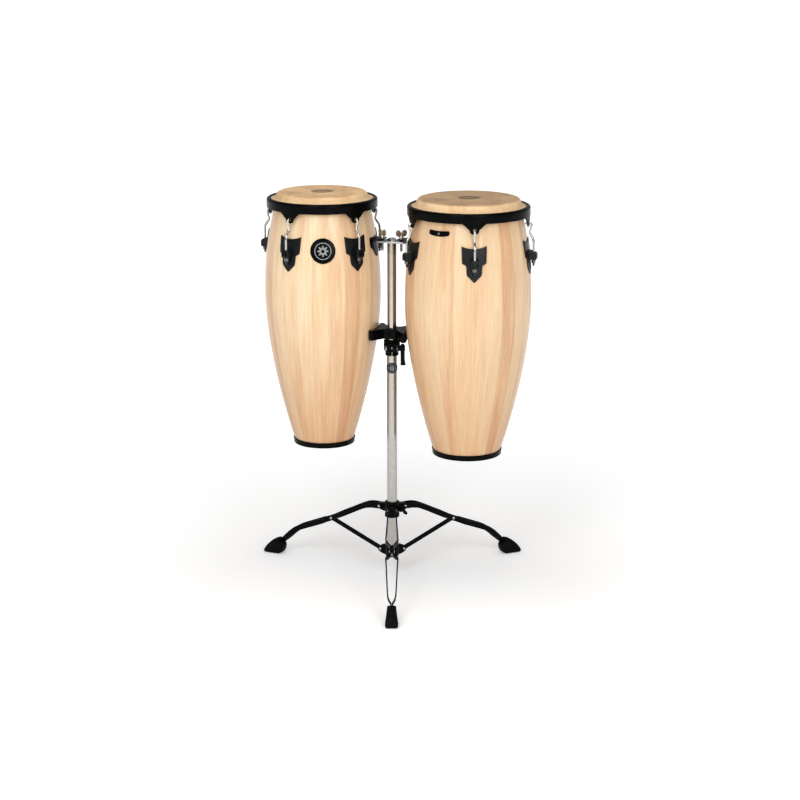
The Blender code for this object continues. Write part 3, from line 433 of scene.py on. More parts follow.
# %% Shader and node helpers
def surface(name, colour=(0.8, 0.8, 0.8), roughness=0.5, metallic=0.0, **more):
    """A new finish whose constants are set on the shader itself."""
    finish = bpy.data.materials.new(name)
    finish.use_nodes = True
    shader = finish.node_tree.nodes["Principled BSDF"]
    values = {"Base Color": (*colour, 1), "Roughness": roughness, "Metallic": metallic}
    values.update({word.replace("_", " "): value for word, value in more.items()})
    for word, value in values.items():
        shader.inputs[word].default_value = value
    return finish


def node(finish, kind, sockets, output=0, **settings):
    """One node with its inputs filled or linked. Returns one of its outputs."""
    made = finish.node_tree.nodes.new(f"ShaderNode{kind}")
    for name, value in settings.items():
        setattr(made, name, value)
    for where, value in sockets.items():
        if isinstance(value, bpy.types.NodeSocket):
            finish.node_tree.links.new(value, made.inputs[where])
        else:
            made.inputs[where].default_value = value
    return made.outputs[output]


def sums(finish, operation, first, second=0.0, third=0.0):
    """One step of arithmetic."""
    return node(finish, "Math", {0: first, 1: second, 2: third}, operation=operation)


# %% [markdown]
# ### Patterns and where they lie
# A pattern is read at the object's own coordinates, first moved to a centre and then turned
# about the upright axis. Stretching them draws a round grain out into streaks.

# %% Noise and coordinates
def noise(finish, where, scale, detail=3.0, roughness=0.5, distortion=0.0):
    sockets = {
        "Vector": where, "Scale": scale, "Detail": detail, "Roughness": roughness,
        "Distortion": distortion,
    }
    return node(finish, "TexNoise", sockets)


def position(finish, centre=(0, 0, 0), angle=0.0, stretch=(1, 1, 1)):
    """Object coordinates moved to a centre and turned about Z."""
    whole = node(finish, "TexCoord", {}, output="Object")
    moved_there = node(finish, "Mapping", {"Vector": whole, "Location": [-c for c in centre]})
    turned = node(finish, "Mapping", {"Vector": moved_there, "Rotation": (0, 0, -angle)})
    return node(finish, "Mapping", {"Vector": turned, "Scale": stretch})


# %% [markdown]
# ### Colour, gloss and relief
# A ramp turns a number into a colour. Wear links the colour, the roughness and the height of
# a surface to its shader, and anything left out keeps the shader's own constant.

# %% Ramps, mixes and wear
def ramp(finish, value, *stops):
    """Colours or greys along a value."""
    output = node(finish, "ValToRGB", {"Fac": value})
    band = output.node.color_ramp
    while len(band.elements) < len(stops):
        band.elements.new(1.0)
    for element, (place, colour) in zip(band.elements, stops):
        element.position = place
        grey = (colour, colour, colour)
        element.color = (*(grey if isinstance(colour, float) else colour), 1)
    return output


def mixed(finish, share, first, second, blend="MIX"):
    sockets = {0: share, 6: first, 7: second}
    return node(finish, "Mix", sockets, output=2, data_type="RGBA", blend_type=blend)


def wear(finish, colour=None, roughness=None, height=None, bump=0.1, deep=0.001):
    """Links what varies over the surface to the shader."""
    shader = finish.node_tree.nodes["Principled BSDF"]
    links = finish.node_tree.links
    if colour is not None:
        links.new(colour, shader.inputs["Base Color"])
    if roughness is not None:
        links.new(roughness, shader.inputs["Roughness"])
    if height is not None:
        sockets = {"Height": height, "Strength": bump, "Distance": deep}
        links.new(node(finish, "Bump", sockets), shader.inputs["Normal"])
    return finish


# %% [markdown]
# ### Stave wood
# The shells are pale hardwood staves glued edge to edge under clear lacquer. The angle about
# the drum's axis says which stave a point is on, and a random number for each stave gives its
# tone. Stretched noise runs along the staves as grain, and a thin dark line marks each joint.

# %% Wood
CREAM = (0.82, 0.68, 0.465)
HONEY = (0.79, 0.58, 0.36)
TAN = (0.61, 0.37, 0.20)
ROSY = (0.70, 0.455, 0.27)
GLUE_LINE = (0.42, 0.25, 0.12)
JOINT_WIDTH = 0.010  # share of a stave's width
# Painted shade: the staves are multiplied by a darker, pinker tint towards the foot of each drum, where less
# light falls. The share of it higher up is given per drum.
BOTTOM_SHADE_TINT = (0.80, 0.655, 0.56)
SHADE_AT_TOP = {"small": 0.05, "large": 0.40}


def stave_wood(word, staves, seed, lacquered=True):
    kind = "lacquered" if lacquered else "raw"
    gloss = {"Coat_Weight": 0.12, "Coat_Roughness": 0.08, "Specular_IOR_Level": 0.22} if lacquered else {}
    finish = surface(f"{word}_{kind}_staves", roughness=0.32 if lacquered else 0.75, **gloss)
    where = position(finish, PLACES[word].translation)
    flat = node(finish, "SeparateXYZ", {0: where})
    x, y, z = flat.node.outputs
    angle = sums(finish, "ARCTAN2", y, x)
    count = sums(finish, "MULTIPLY_ADD", angle, staves / math.tau, 2.0 * staves)
    stave = sums(finish, "FLOOR", count)
    inside = sums(finish, "FRACT", count)
    tone = node(finish, "TexWhiteNoise", {"W": sums(finish, "ADD", stave, seed)}, noise_dimensions="1D")
    tilt = sums(finish, "MULTIPLY", sums(finish, "SUBTRACT", tone, 0.5), 0.06)
    across = sums(finish, "MULTIPLY_ADD", z, tilt, sums(finish, "MULTIPLY", angle, 0.15))
    layer = sums(finish, "MULTIPLY", tone, 7.0)

    def along(stretch):
        run = sums(finish, "MULTIPLY", z, stretch)
        return node(finish, "CombineXYZ", {0: across, 1: layer, 2: run})

    figure = noise(finish, along(0.10), 26.0, 4.0, 0.55, 0.6)
    streaks = noise(finish, along(0.035), 170.0, 5.0, 0.62, 0.3)
    fibres = noise(finish, along(0.02), 900.0, 3.0, 0.6)
    shade = sums(finish, "MULTIPLY_ADD", tone, 0.30, sums(finish, "MULTIPLY", figure, 0.66))
    shade = sums(finish, "MULTIPLY_ADD", streaks, 0.50, sums(finish, "SUBTRACT", shade, 0.19))
    colour = ramp(finish, shade, (0.24, CREAM), (0.47, HONEY), (0.63, ROSY), (0.84, TAN))
    line = ramp(finish, fibres, (0.42, 0.80), (0.56, 1.0))
    colour = mixed(finish, 0.55, colour, mixed(finish, 1.0, colour, line, "MULTIPLY"))
    edge = sums(finish, "ABSOLUTE", sums(finish, "SUBTRACT", inside, 0.5))
    joint = node(finish, "MapRange", {0: edge, 1: 0.5 - JOINT_WIDTH, 2: 0.5})
    joint = sums(finish, "MULTIPLY", joint, 0.40)
    colour = mixed(finish, joint, colour, (*GLUE_LINE, 1))
    # Painted shade: darker and pinker from 0.30 m to 0.72 m below the playing face, with some of it all the
    # way up on the large drum.
    bottom_shade = node(finish, "MapRange", {0: z, 1: -0.30, 2: -0.72, 3: SHADE_AT_TOP[word], 4: 1.0})
    colour = mixed(finish, bottom_shade, colour, mixed(finish, 1.0, colour, (*BOTTOM_SHADE_TINT, 1), "MULTIPLY"))
    base = 0.26 if lacquered else 0.68
    rough = node(finish, "MapRange", {0: figure, 1: 0.3, 2: 0.7, 3: base, 4: base + 0.12})
    height = sums(finish, "SUBTRACT", fibres, joint)
    return wear(finish, colour, rough, height, 0.10 if lacquered else 0.35, 0.0004)


STAVES = {"small": 22, "large": 24}
SEEDS = {"small": 3.0, "large": 58.0}
WOOD = {word: stave_wood(word, STAVES[word], SEEDS[word]) for word in DRUMS}
RAW_WOOD = {word: stave_wood(word, STAVES[word], SEEDS[word], False) for word in DRUMS}
stave_width = math.tau * SHELL_R["small"](0.3) / STAVES["small"]
print("a stave of the small drum is", round(stave_width * 1000), "mm wide at the belly")

# %% [markdown]
# ### Skin
# A head is stretched hide: golden, cloudy, with fine pores, and darker where it is thick. A
# small printed roundel sits in the middle. It is a ring with petals, drawn from the distance
# and the angle to the drum's axis.

# %% Hide
def roundel(finish, where, radius, petals):
    """A mask of a ring round a rosette."""
    flat = node(finish, "SeparateXYZ", {0: where})
    x, y, _ = flat.node.outputs
    squared = sums(finish, "MULTIPLY_ADD", x, x, sums(finish, "MULTIPLY", y, y))
    reach = sums(finish, "DIVIDE", sums(finish, "SQRT", squared), radius)
    angle = sums(finish, "ARCTAN2", y, x)
    wave = sums(finish, "COSINE", sums(finish, "MULTIPLY", angle, petals))
    flower = sums(finish, "MULTIPLY_ADD", wave, 0.16, 0.50)
    ring = sums(finish, "COMPARE", reach, 0.93, 0.045)
    rosette = sums(finish, "LESS_THAN", reach, flower)
    eye = sums(finish, "LESS_THAN", reach, 0.20)
    inner = sums(finish, "SUBTRACT", rosette, eye)
    return sums(finish, "MAXIMUM", ring, inner)


HIDE_COLOURS = ((0.36, (0.48, 0.275, 0.125)), (0.50, (0.69, 0.43, 0.215)), (0.66, (0.81, 0.54, 0.285)))
HIDE_DEPTH = {"small": 1.06, "large": 0.70}  # the large drum's skin is thicker and darker


def hide(word):
    finish = surface(f"{word}_hide", roughness=0.50, Specular_IOR_Level=0.22)
    depth = HIDE_DEPTH[word]
    where = position(finish, PLACES[word].translation)
    clouds = noise(finish, where, 16.0, 5.0, 0.6, 0.8)
    mottle = noise(finish, where, 75.0, 4.0, 0.6)
    pores = noise(finish, where, 900.0, 2.0, 0.5)
    colour = ramp(
        finish, sums(finish, "MULTIPLY_ADD", mottle, 0.30, sums(finish, "MULTIPLY", clouds, 0.72)),
        *((place, tuple(c * depth for c in colour)) for place, colour in HIDE_COLOURS),
    )
    # The rolled collar is painted a lighter golden colour. This is partly the skin's own tone there and
    # partly a painted highlight on the roll.
    collar = ramp(
        finish, clouds, (0.35, (0.66, 0.43, 0.225)), (0.65, (0.80, 0.585, 0.345)),
    )
    flat = node(finish, "SeparateXYZ", {0: where})
    x, y, z = flat.node.outputs
    rolled = node(finish, "MapRange", {0: z, 1: -0.0004, 2: -0.0045})
    colour = mixed(finish, rolled, colour, collar)
    on_top = sums(finish, "GREATER_THAN", z, -0.004)
    disc = node(finish, "VectorMath", {0: where}, output=1, operation="LENGTH")
    disc = sums(finish, "LESS_THAN", disc, 0.0305)
    pattern = sums(finish, "MULTIPLY", roundel(finish, where, 0.0275, 8.0), 0.42)
    stamp = sums(finish, "MULTIPLY", sums(finish, "SUBTRACT", disc, pattern), on_top)
    faded = node(finish, "MapRange", {0: mottle, 1: 0.3, 2: 0.7, 3: 0.66, 4: 0.88})
    ink = sums(finish, "MULTIPLY", stamp, faded)
    colour = mixed(finish, ink, colour, (0.045, 0.028, 0.018, 1))
    rough = node(finish, "MapRange", {0: clouds, 1: 0.3, 2: 0.7, 3: 0.36, 4: 0.52})
    return wear(finish, colour, rough, sums(finish, "MULTIPLY_ADD", mottle, 2.0, pores), 0.20, 0.0005)


HIDE = {word: hide(word) for word in DRUMS}
print("skins", [finish.name for finish in HIDE.values()])

# %% [markdown]
# ### Metals, rubber and plastic
# Powder coat has a fine orange peel. Chrome is a mirror with faint smears. The lower tube is
# satin nickel, and the crossbar is brushed zinc. Rubber and nylon are dull, with dust in them.

# %% Coated and plated finishes
def powder_coat(name, colour, roughness, gloss):
    finish = surface(name, colour, roughness, Specular_IOR_Level=gloss)
    where = position(finish)
    peel = noise(finish, where, 950.0, 2.0, 0.5)
    dust = noise(finish, where, 48.0, 5.0, 0.65)
    lighter = tuple(c * 2.2 for c in colour)
    shade = ramp(finish, dust, (0.42, colour), (0.80, lighter))
    rough = node(finish, "MapRange", {0: dust, 1: 0.3, 2: 0.75, 3: roughness - 0.05, 4: roughness + 0.12})
    return wear(finish, shade, rough, peel, 0.22, 0.0003)


def plating(name, colour, roughness, brushed=0.0, smear=0.08):
    finish = surface(name, colour, roughness, 1.0)
    where = position(finish)
    marks = noise(finish, where, 60.0, 5.0, 0.6, 0.4)
    darker = tuple(c * 0.86 for c in colour)
    shade = ramp(finish, marks, (0.35, darker), (0.65, colour))
    rough = node(finish, "MapRange", {0: marks, 1: 0.3, 2: 0.7, 3: roughness, 4: roughness + smear})
    drawn = position(finish, stretch=(1, 0.02, 1)) if brushed else where
    lines = noise(finish, drawn, 1800.0, 2.0, 0.5)
    return wear(finish, shade, rough, lines, brushed if brushed else 0.015, 0.0002)


def moulded(name, colour, roughness, grain):
    finish = surface(name, colour, roughness, Specular_IOR_Level=0.06)
    where = position(finish)
    texture = noise(finish, where, 1500.0, 3.0, 0.6)
    dust = noise(finish, where, 90.0, 5.0, 0.7)
    lighter = tuple(c * 2.0 + 0.002 for c in colour)
    shade = ramp(finish, dust, (0.42, colour), (0.78, lighter))
    rough = node(finish, "MapRange", {0: dust, 1: 0.3, 2: 0.7, 3: roughness - 0.08, 4: roughness + 0.08})
    return wear(finish, shade, rough, texture, grain, 0.0003)


BLACK = powder_coat("black_powder_coat", (0.0008, 0.0010, 0.0010), 0.24, 0.05)
PLATE_BLACK = powder_coat("plate_powder_coat", (0.0020, 0.0028, 0.0032), 0.32, 0.24)
CHROME = plating("bright_chrome", (0.55, 0.55, 0.53), 0.07)
TUBE_CHROME = plating("post_chrome", (0.44, 0.42, 0.38), 0.14)
NICKEL = plating("satin_nickel", (0.46, 0.45, 0.42), 0.27, smear=0.06)
ZINC = plating("brushed_zinc", (0.46, 0.46, 0.45), 0.26, brushed=0.25)
RUBBER = moulded("foot_rubber", (0.0008, 0.0016, 0.0018), 0.50, 0.30)
NYLON = moulded("black_nylon", (0.0012, 0.0015, 0.0016), 0.36, 0.12)
# A darker zinc, used as painted shade on the nuts that sit in the shadow of the lug blocks.
SHADED_ZINC = plating("dark_zinc", (0.17, 0.17, 0.165), 0.30)
print(len(bpy.data.materials), "finishes so far")

# %% [markdown]
# ### Printed badges
# A badge is gloss black plastic with a silver ring and rosette, seen from in front. The same
# roundel serves again, on coordinates turned to look along the badge.

# %% Badge print
def printed(name, centre, facing, radius, petals):
    """Gloss plastic with a roundel that faces a compass direction, in degrees."""
    finish = surface(name, (0.0025, 0.0025, 0.0027), 0.20, Specular_IOR_Level=0.06)
    whole = node(finish, "TexCoord", {}, output="Object")
    there = node(finish, "Mapping", {"Vector": whole, "Location": [-c for c in centre]})
    turned = node(finish, "Mapping", {"Vector": there, "Rotation": (0, 0, -math.radians(facing))})
    x, y, z = node(finish, "SeparateXYZ", {0: turned}).node.outputs
    seen = node(finish, "CombineXYZ", {0: y, 1: z, 2: x})
    mask = roundel(finish, seen, radius, petals)
    scuff = noise(finish, whole, 220.0, 4.0, 0.6)
    silver = ramp(finish, scuff, (0.35, (0.20, 0.21, 0.215)), (0.65, (0.34, 0.35, 0.36)))
    colour = mixed(finish, mask, (0.0025, 0.0025, 0.0027, 1), silver)
    rough = node(finish, "MapRange", {0: scuff, 1: 0.3, 2: 0.7, 3: 0.12, 4: 0.24})
    return wear(finish, colour, rough, sums(finish, "MULTIPLY_ADD", scuff, 0.1, mask), 0.08, 0.0002)


# %% [markdown]
# ## Shells
# A conga shell is a barrel of staves, turned smooth outside and left bare inside. One outline,
# out along the barrel and back along the inner wall, is spun on the lathe. The bearing edge at
# the top is rounded, because the skin slides over it as it is tuned.

# %% Shells
WALL = 0.011
HEAD_THICKNESS = 0.0025
SHELL_ROWS = 44
RING_LIP = 0.003


def shell(word):
    radius = SHELL_R[word]
    top, bottom = HEAD_THICKNESS + 0.0006, DRUM_HEIGHT - RING_LIP - 0.0004
    start = top + 0.005
    depths = [start + (bottom - start) * k / SHELL_ROWS for k in range(SHELL_ROWS + 1)]
    edge_r = radius(start)
    outline = [(edge_r - WALL * 0.75, -top - 0.0015), (edge_r - WALL * 0.5, -top - 0.0002)]
    outline += arc(edge_r - 0.005, -start, 0.005, 80, 10, 5)
    outline += [(radius(depth), -depth) for depth in depths]
    outline += [(radius(depth) - WALL, -depth) for depth in depths[::-3]]
    piece = moved(lathe(outline, 144), PLACES[word])
    takes_over(piece, f"{word}_shell", WOOD[word], RAW_WOOD[word])
    axis = PLACES[word].translation

    def faces_in(face):
        out = Vector((face.center.x - axis.x, face.center.y - axis.y, 0))
        return out.dot(face.normal) < 0 or abs(face.normal.z) > 0.9

    paint_where(piece, 1, faces_in)


for word in DRUMS:
    shell(word)
    say(f"{word}_shell")

# %% [markdown]
# ## Heads
# The skin lies flat over the bearing edge, rolls down over it, and runs out to the flesh hoop
# under the rim, where it is folded back. The collar between edge and hoop is what is seen above
# the rim, so it gets the most points.

# %% Heads
RIM_WALL = 0.0046


def reach_of(node_name, place):
    """The largest radius of a part about its own axis."""
    to_piece = place.inverted()
    corners = [to_piece @ vertex.co for vertex in NODES[node_name].data.vertices]
    return max(math.hypot(corner.x, corner.y) for corner in corners)


RIM_REACH = {word: reach_of(f"{word}_rim", PLACES[word]) for word in DRUMS}


def head(word):
    radius = SHELL_R[word]
    rim_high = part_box(f"{word}_rim")[1]
    drop = PLACES[word].translation.z - rim_high.z
    outer = RIM_REACH[word] - RIM_WALL - 0.001
    edge = radius(HEAD_THICKNESS + 0.004)
    ledge = drop + 0.0034
    roll = through([
        (edge - 0.016, 0.0), (edge - 0.008, -0.0001), (edge - 0.0022, -0.0012), (edge + 0.0020, -0.0042),
        (edge + 0.0040, -0.0085), (edge + 0.0062, -0.0125), (edge + 0.0105, -ledge + 0.0012),
    ], 4)
    under = [(x - 0.0024, z - 0.0016) for x, z in roll[::-1][3:]]
    outline = [(0.0, 0.0), (edge * 0.5, 0.0)] + roll
    outline += [(outer - 0.003, -ledge), (outer, -ledge - 0.003), (outer, -ledge - 0.013)]
    outline += [(outer - 0.008, -ledge - 0.013), (outer - 0.008, -ledge - 0.003)] + under
    outline += [(edge * 0.5, -HEAD_THICKNESS), (0.0, -HEAD_THICKNESS)]
    takes_over(moved(lathe(outline, 144), PLACES[word]), f"{word}_head", HIDE[word])


for word in DRUMS:
    head(word)
print("rim radii", RIM_REACH)

# %% [markdown]
# ## Rims
# The rim pulls the skin down. Its top is rolled outwards, so that it is kind to the hands, and
# five ears under it take the hooks. The band is spun, an ear is a plate bent to the band's
# inner side, and a hole is bored through it.

# %% Rims with their ears
LUG_COUNT = 5
LUG_SHIFT = {"small": 1.0, "large": 2.0}
RIM_HEIGHT = 0.0265
RIM_LIP = 0.0121
EAR_HALF = 0.0315
EAR_DEPTH = 0.027
HOOK_R = 0.0032


def lug_angles(word):
    return [LUG_SHIFT[word] + 360 / LUG_COUNT * (k + 0.5) for k in range(LUG_COUNT)]


def rim(word):
    out, top = RIM_REACH[word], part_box(f"{word}_rim")[1].z - PLACES[word].translation.z
    band_low = top - RIM_HEIGHT
    wall_in = out - RIM_WALL
    outline = [(out - RIM_LIP, top - 0.0030)]
    outline += arc(out - RIM_LIP + 0.0012, top - 0.0014, 0.0012, 180, 95, 3)
    outline += arc(out - 0.0062, top - 0.0062, 0.0062, 88, 4, 8)
    outline += [(out, top - 0.012), (out, band_low + 0.0018)]
    outline += arc(out - 0.0013, band_low + 0.0013, 0.0013, 0, -90, 3)
    outline += [(wall_in + 0.0010, band_low), (wall_in, band_low + 0.001), (wall_in, top - 0.0060)]
    outline += [(wall_in - 0.002, top - 0.0036)]
    band = lathe(outline, 144)
    ear_shape = [
        (-0.20, 1.02), (0.0, 1.0), (0.10, 0.88), (0.22, 0.745), (0.34, 0.645), (0.43, 0.585), (0.475, 0.52),
        (0.53, 0.435), (0.62, 0.40), (0.74, 0.375), (0.85, 0.33), (0.93, 0.265), (0.98, 0.18), (1.0, 0.11),
    ]
    rows = [(-band_low + share * EAR_DEPTH, wide * EAR_HALF, 0.0) for share, wide in ear_shape]
    ear = bent_plate(rows, lambda depth: wall_in + 0.0006, 0.0032, 0.0, 16, 0.0007)
    eye = band_low - 0.60 * EAR_DEPTH
    carved(ear, rod((wall_in - 0.02, 0, eye), (out + 0.02, 0, eye), HOOK_R + 0.0014))
    ears = [copied(ear, turn(angle)) for angle in lug_angles(word)]
    bpy.data.objects.remove(ear, do_unlink=True)
    takes_over(moved(joined(band, *ears), PLACES[word]), f"{word}_rim", BLACK)


for word in DRUMS:
    rim(word)
    say(f"{word}_rim")

# %% [markdown]
# ## Bottom rings
# A black ring guards the foot of each shell, where the drum is stood on the floor. It hugs the
# taper, with a rolled lower edge and a step inside that the staves rest on.

# %% Bottom rings
RING_HEIGHT = 0.0155
RING_WALL = 0.0024


def bottom_ring(word):
    radius = SHELL_R[word]
    low, high = -DRUM_HEIGHT, -DRUM_HEIGHT + RING_HEIGHT
    at_low, at_high = radius(DRUM_HEIGHT - RING_LIP) + 0.0008, radius(DRUM_HEIGHT - RING_HEIGHT) + 0.0008
    foot = at_low + RING_WALL + 0.0022
    outline = [(at_low - WALL, low + 0.0012), (at_low - WALL + 0.0012, low), (foot - 0.0022, low)]
    outline += arc(foot - 0.0022, low + 0.0022, 0.0022, -70, 20, 5)
    outline += [(foot - 0.0006, low + 0.0062), (at_high + RING_WALL - 0.0004, high - 0.0022)]
    outline += arc(at_high + RING_WALL - 0.0016, high - 0.0012, 0.0012, 15, 90, 3)
    outline += [(at_high, high), (at_low, low + RING_LIP), (at_low - WALL, low + RING_LIP)]
    takes_over(moved(lathe(outline, 144), PLACES[word]), f"{word}_bottom_ring", BLACK)


for word in DRUMS:
    bottom_ring(word)
    say(f"{word}_bottom_ring")

# %% [markdown]
# ## Lug plates
# Each hook is anchored by a pressed plate: wide shoulders with a hollowed top edge, a step in,
# and a pointed tip. A block on it holds the hook's end. The block is a side view pushed to its
# width, with its edges rounded, two windows cut in its face and a bore from top to bottom.

# %% Lug plates
LUG_TOP = 0.1045
LUG_HEIGHT = 0.0955
LUG_HALF = 0.033
BLOCK_TOP = 0.035
BLOCK_HEIGHT = 0.021
BLOCK_HALF = 0.0105
BLOCK_DEPTH = 0.024
ROD_STANDOFF = 0.015
WINDOW_HALF = 0.0026
WINDOW_Y = 0.0053


def lug(word):
    """One plate with its block, drawn on the drum's +X side."""
    radius = SHELL_R[word]
    shape = [
        (0.000, 1.000, 0.0070), (0.06, 1.000, 0.0065), (0.16, 0.995, 0.0050), (0.27, 0.985, 0.0030),
        (0.38, 0.975, 0.0010), (0.455, 0.965, 0.0), (0.475, 0.94, 0.0), (0.530, 0.67, 0.0),
        (0.555, 0.635, 0.0), (0.65, 0.620, 0.0), (0.74, 0.605, 0.0), (0.80, 0.575, 0.0),
        (0.85, 0.44, 0.0), (0.91, 0.27, 0.0), (0.96, 0.13, 0.0), (0.99, 0.045, 0.0),
    ]
    rows = [(LUG_TOP + share * LUG_HEIGHT, wide * LUG_HALF, sag) for share, wide, sag in shape]
    base = bent_plate(rows, radius, 0.0028, columns=18)
    middle = LUG_TOP + BLOCK_TOP + BLOCK_HEIGHT / 2
    low, high = -(middle + BLOCK_HEIGHT / 2), -(middle - BLOCK_HEIGHT / 2)
    skin = radius(middle)
    face = skin + BLOCK_DEPTH
    side = [
        (skin + 0.001, low + 0.001), (face - 0.006, low - 0.0008), (face - 0.0015, low + 0.0006),
        (face, low + 0.003), (face, high - 0.006), (face - 0.0022, high - 0.001),
        (face - 0.007, high + 0.0012),
        (skin + 0.006, high + 0.0045), (skin + 0.001, high + 0.0052),
    ]
    knuckle = eased(upright(side, BLOCK_HALF), 0.0013, 3)
    windows = [
        block(
            (face - 0.0052, across - WINDOW_HALF, low + 0.0045),
            (face + 0.002, across + WINDOW_HALF, high - 0.0045),
        )
        for across in (-WINDOW_Y, WINDOW_Y)
    ]
    bored = rod((skin + ROD_STANDOFF, 0, low - 0.01), (skin + ROD_STANDOFF, 0, high + 0.01), HOOK_R + 0.0008)
    carved(knuckle, *windows, bored)
    rib = bent_plate(
        [(LUG_TOP + 0.053, 0.0042, 0.0), (LUG_TOP + 0.062, 0.0036, 0.0), (LUG_TOP + 0.073, 0.0026, 0.0),
         (LUG_TOP + 0.082, 0.0012, 0.0)], radius, 0.0022, 0.0028, 6, 0.0008,
    )
    return joined(base, knuckle, rib)


for word in DRUMS:
    model = lug(word)
    for number, angle in enumerate(lug_angles(word), 1):
        takes_over(copied(model, PLACES[word] @ turn(angle)), f"{word}_lug_plate_{number}", PLATE_BLACK)
    bpy.data.objects.remove(model, do_unlink=True)
    say(f"{word}_lug_plate_1")

# %% [markdown]
# ## Hooks and nuts
# A tension hook is a bent bar: up through the ear, over and out, back in towards the shell, and
# straight down through the lug block to a nut. The bar is a loft along a smooth line. The tail
# below the nut is threaded, so its rings swell and shrink.

# %% Bent bars and nuts
NUT_R = 0.0060
NUT_HEIGHT = 0.0075
THREAD_PITCH = 0.00125


def ring_at(x, z, along, radius, sides=14):
    """A circle of points across a line in the XZ plane."""
    points = []
    for k in range(sides):
        a = math.tau * k / sides
        out = radius * math.cos(a)
        points.append((x - along.y * out, radius * math.sin(a), z + along.x * out))
    return points


def bent_bar(path, radii, sides=14):
    rings = []
    for k, (x, z) in enumerate(path):
        before, after = path[max(k - 1, 0)], path[min(k + 1, len(path) - 1)]
        along = Vector((after[0] - before[0], after[1] - before[1])).normalized()
        rings.append(ring_at(x, z, along, radii[k], sides))
    return loft(rings)


def hexagon_nut(radius, height):
    """A nut whose corners are turned off at both faces."""
    body = rod((0, 0, 0), (0, 0, height), radius, 6)
    slope = radius * 0.10
    cone = lathe([
        (0, 0), (radius * 0.88, 0), (radius * 1.02, slope), (radius * 1.02, height - slope),
        (radius * 0.88, height), (0, height),
    ], 48)
    applied(body, "BOOLEAN", operation="INTERSECT", object=cone)
    bpy.data.objects.remove(cone, do_unlink=True)
    return smooth(body, 20)


# %% [markdown]
# ### One hook for each lug
# The hook's bends are placed from the ear's hole and the lug's bore, so it fits both drums. It
# is made once for a drum and copied round it. The nut, washer and thread get a darker zinc, which is painted
# shade from the lug block above them.

# %% Tension hooks
def hook(word):
    out = RIM_REACH[word]
    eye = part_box(f"{word}_rim")[1].z - PLACES[word].translation.z - RIM_HEIGHT - 0.60 * EAR_DEPTH
    rod_r = SHELL_R[word](LUG_TOP + BLOCK_TOP + BLOCK_HEIGHT / 2) + ROD_STANDOFF
    under = -(LUG_TOP + BLOCK_TOP + BLOCK_HEIGHT) - 0.0012
    bends = [
        (out - RIM_WALL - 0.0062, eye - 0.0040), (out - 0.0035, eye), (out + 0.0035, eye - 0.0006),
        (out + 0.0065, eye - 0.0080), (out + 0.0035, eye - 0.0200), (out + 0.0030, eye - 0.0290),
        (rod_r - 0.0025, eye - 0.0430), (rod_r, eye - 0.0540),
    ]
    path = through(bends, 5)
    radii = [HOOK_R * 0.72] + [HOOK_R] * (len(path) - 1)
    path.append((rod_r, under - NUT_HEIGHT))
    radii.append(HOOK_R * 0.97)
    for k in range(12):
        path.append((rod_r, under - NUT_HEIGHT - 0.0004 - k * THREAD_PITCH / 2))
        radii.append(HOOK_R * (0.97 if k % 2 else 0.80))
    path.append((rod_r, under - NUT_HEIGHT - 0.0004 - 12.6 * THREAD_PITCH / 2))
    radii.append(HOOK_R * 0.62)
    bar = bent_bar(path, radii)
    nut = moved(hexagon_nut(NUT_R, NUT_HEIGHT), at(rod_r, 0, under - NUT_HEIGHT))
    flat_ring = moved(washer(HOOK_R, 0.0066, 0.0011, 32), at(rod_r, 0, under))
    return joined(bar, nut, flat_ring)


for word in DRUMS:
    model = hook(word)
    for number, angle in enumerate(lug_angles(word), 1):
        piece = copied(model, PLACES[word] @ turn(angle))
        takes_over(piece, f"{word}_tension_hook_{number}", CHROME, SHADED_ZINC)
        # Painted shade: the washer, nut and thread below the lug block get the darker zinc.
        nut_level = PLACES[word].translation.z - LUG_TOP - BLOCK_TOP - BLOCK_HEIGHT
        paint_where(piece, 1, lambda face: face.center.z < nut_level)
    bpy.data.objects.remove(model, do_unlink=True)
    say(f"{word}_tension_hook_1")

# %% [markdown]
# ## Screws inside the shells
# Each lug plate is bolted through the staves. From below, through the open foot of a drum, two
# washers and nuts show at every plate, and two more at the bracket.

# %% Backing washers and nuts
def backing(word):
    radius = SHELL_R[word]
    spots = []
    for angle in lug_angles(word):
        spots += [(angle, LUG_TOP + 0.020), (angle, LUG_TOP + 0.062)]
    spots += [(0.0, BRACKET_LEVEL + 0.010), (0.0, BRACKET_LEVEL + 0.030)]
    disc = button(0.0085, 0.0011, 0.0080, 0.0014, 24)
    nut = moved(hexagon_nut(0.0052, 0.0045), at(0, 0, 0.0014))
    end = moved(button(0.0025, 0.0024, 0.0019, 0.0030, 16), at(0, 0, 0.0058))
    model = joined(disc, nut, end)
    made = []
    for angle, depth in spots:
        inner = radius(depth) - WALL
        made.append(copied(model, turn(angle) @ at(inner + 0.0003, 0, -depth) @ turn(-90, "Y")))
    bpy.data.objects.remove(model, do_unlink=True)
    whole = moved(joined(*made), PLACES[word])
    whole.name = f"{word}_backing_nuts"
    dressed(whole, f"{word}_drum", "plate_steel", ZINC)
    print(whole.name, "holds", len(spots), "nuts")


BAR_DEPTH = 0.1274  # from the playing face down to the crossbar's top
PLATE_TOP = PLACES["small"].translation.z - BAR_DEPTH
BRACKET_LEVEL = BAR_DEPTH - 0.0034
for word in DRUMS:
    backing(word)

# %% [markdown]
# ## Mount brackets
# On the side that faces the post, a pressed plate carries a thick ledge. The ledge lies on the
# crossbar and is slotted for a wing bolt, so that the drum lifts off without tools.

# %% Brackets
LEDGE_HALF = 0.019
LEDGE_THICKNESS = 0.003
BOLT_R = 0.0038


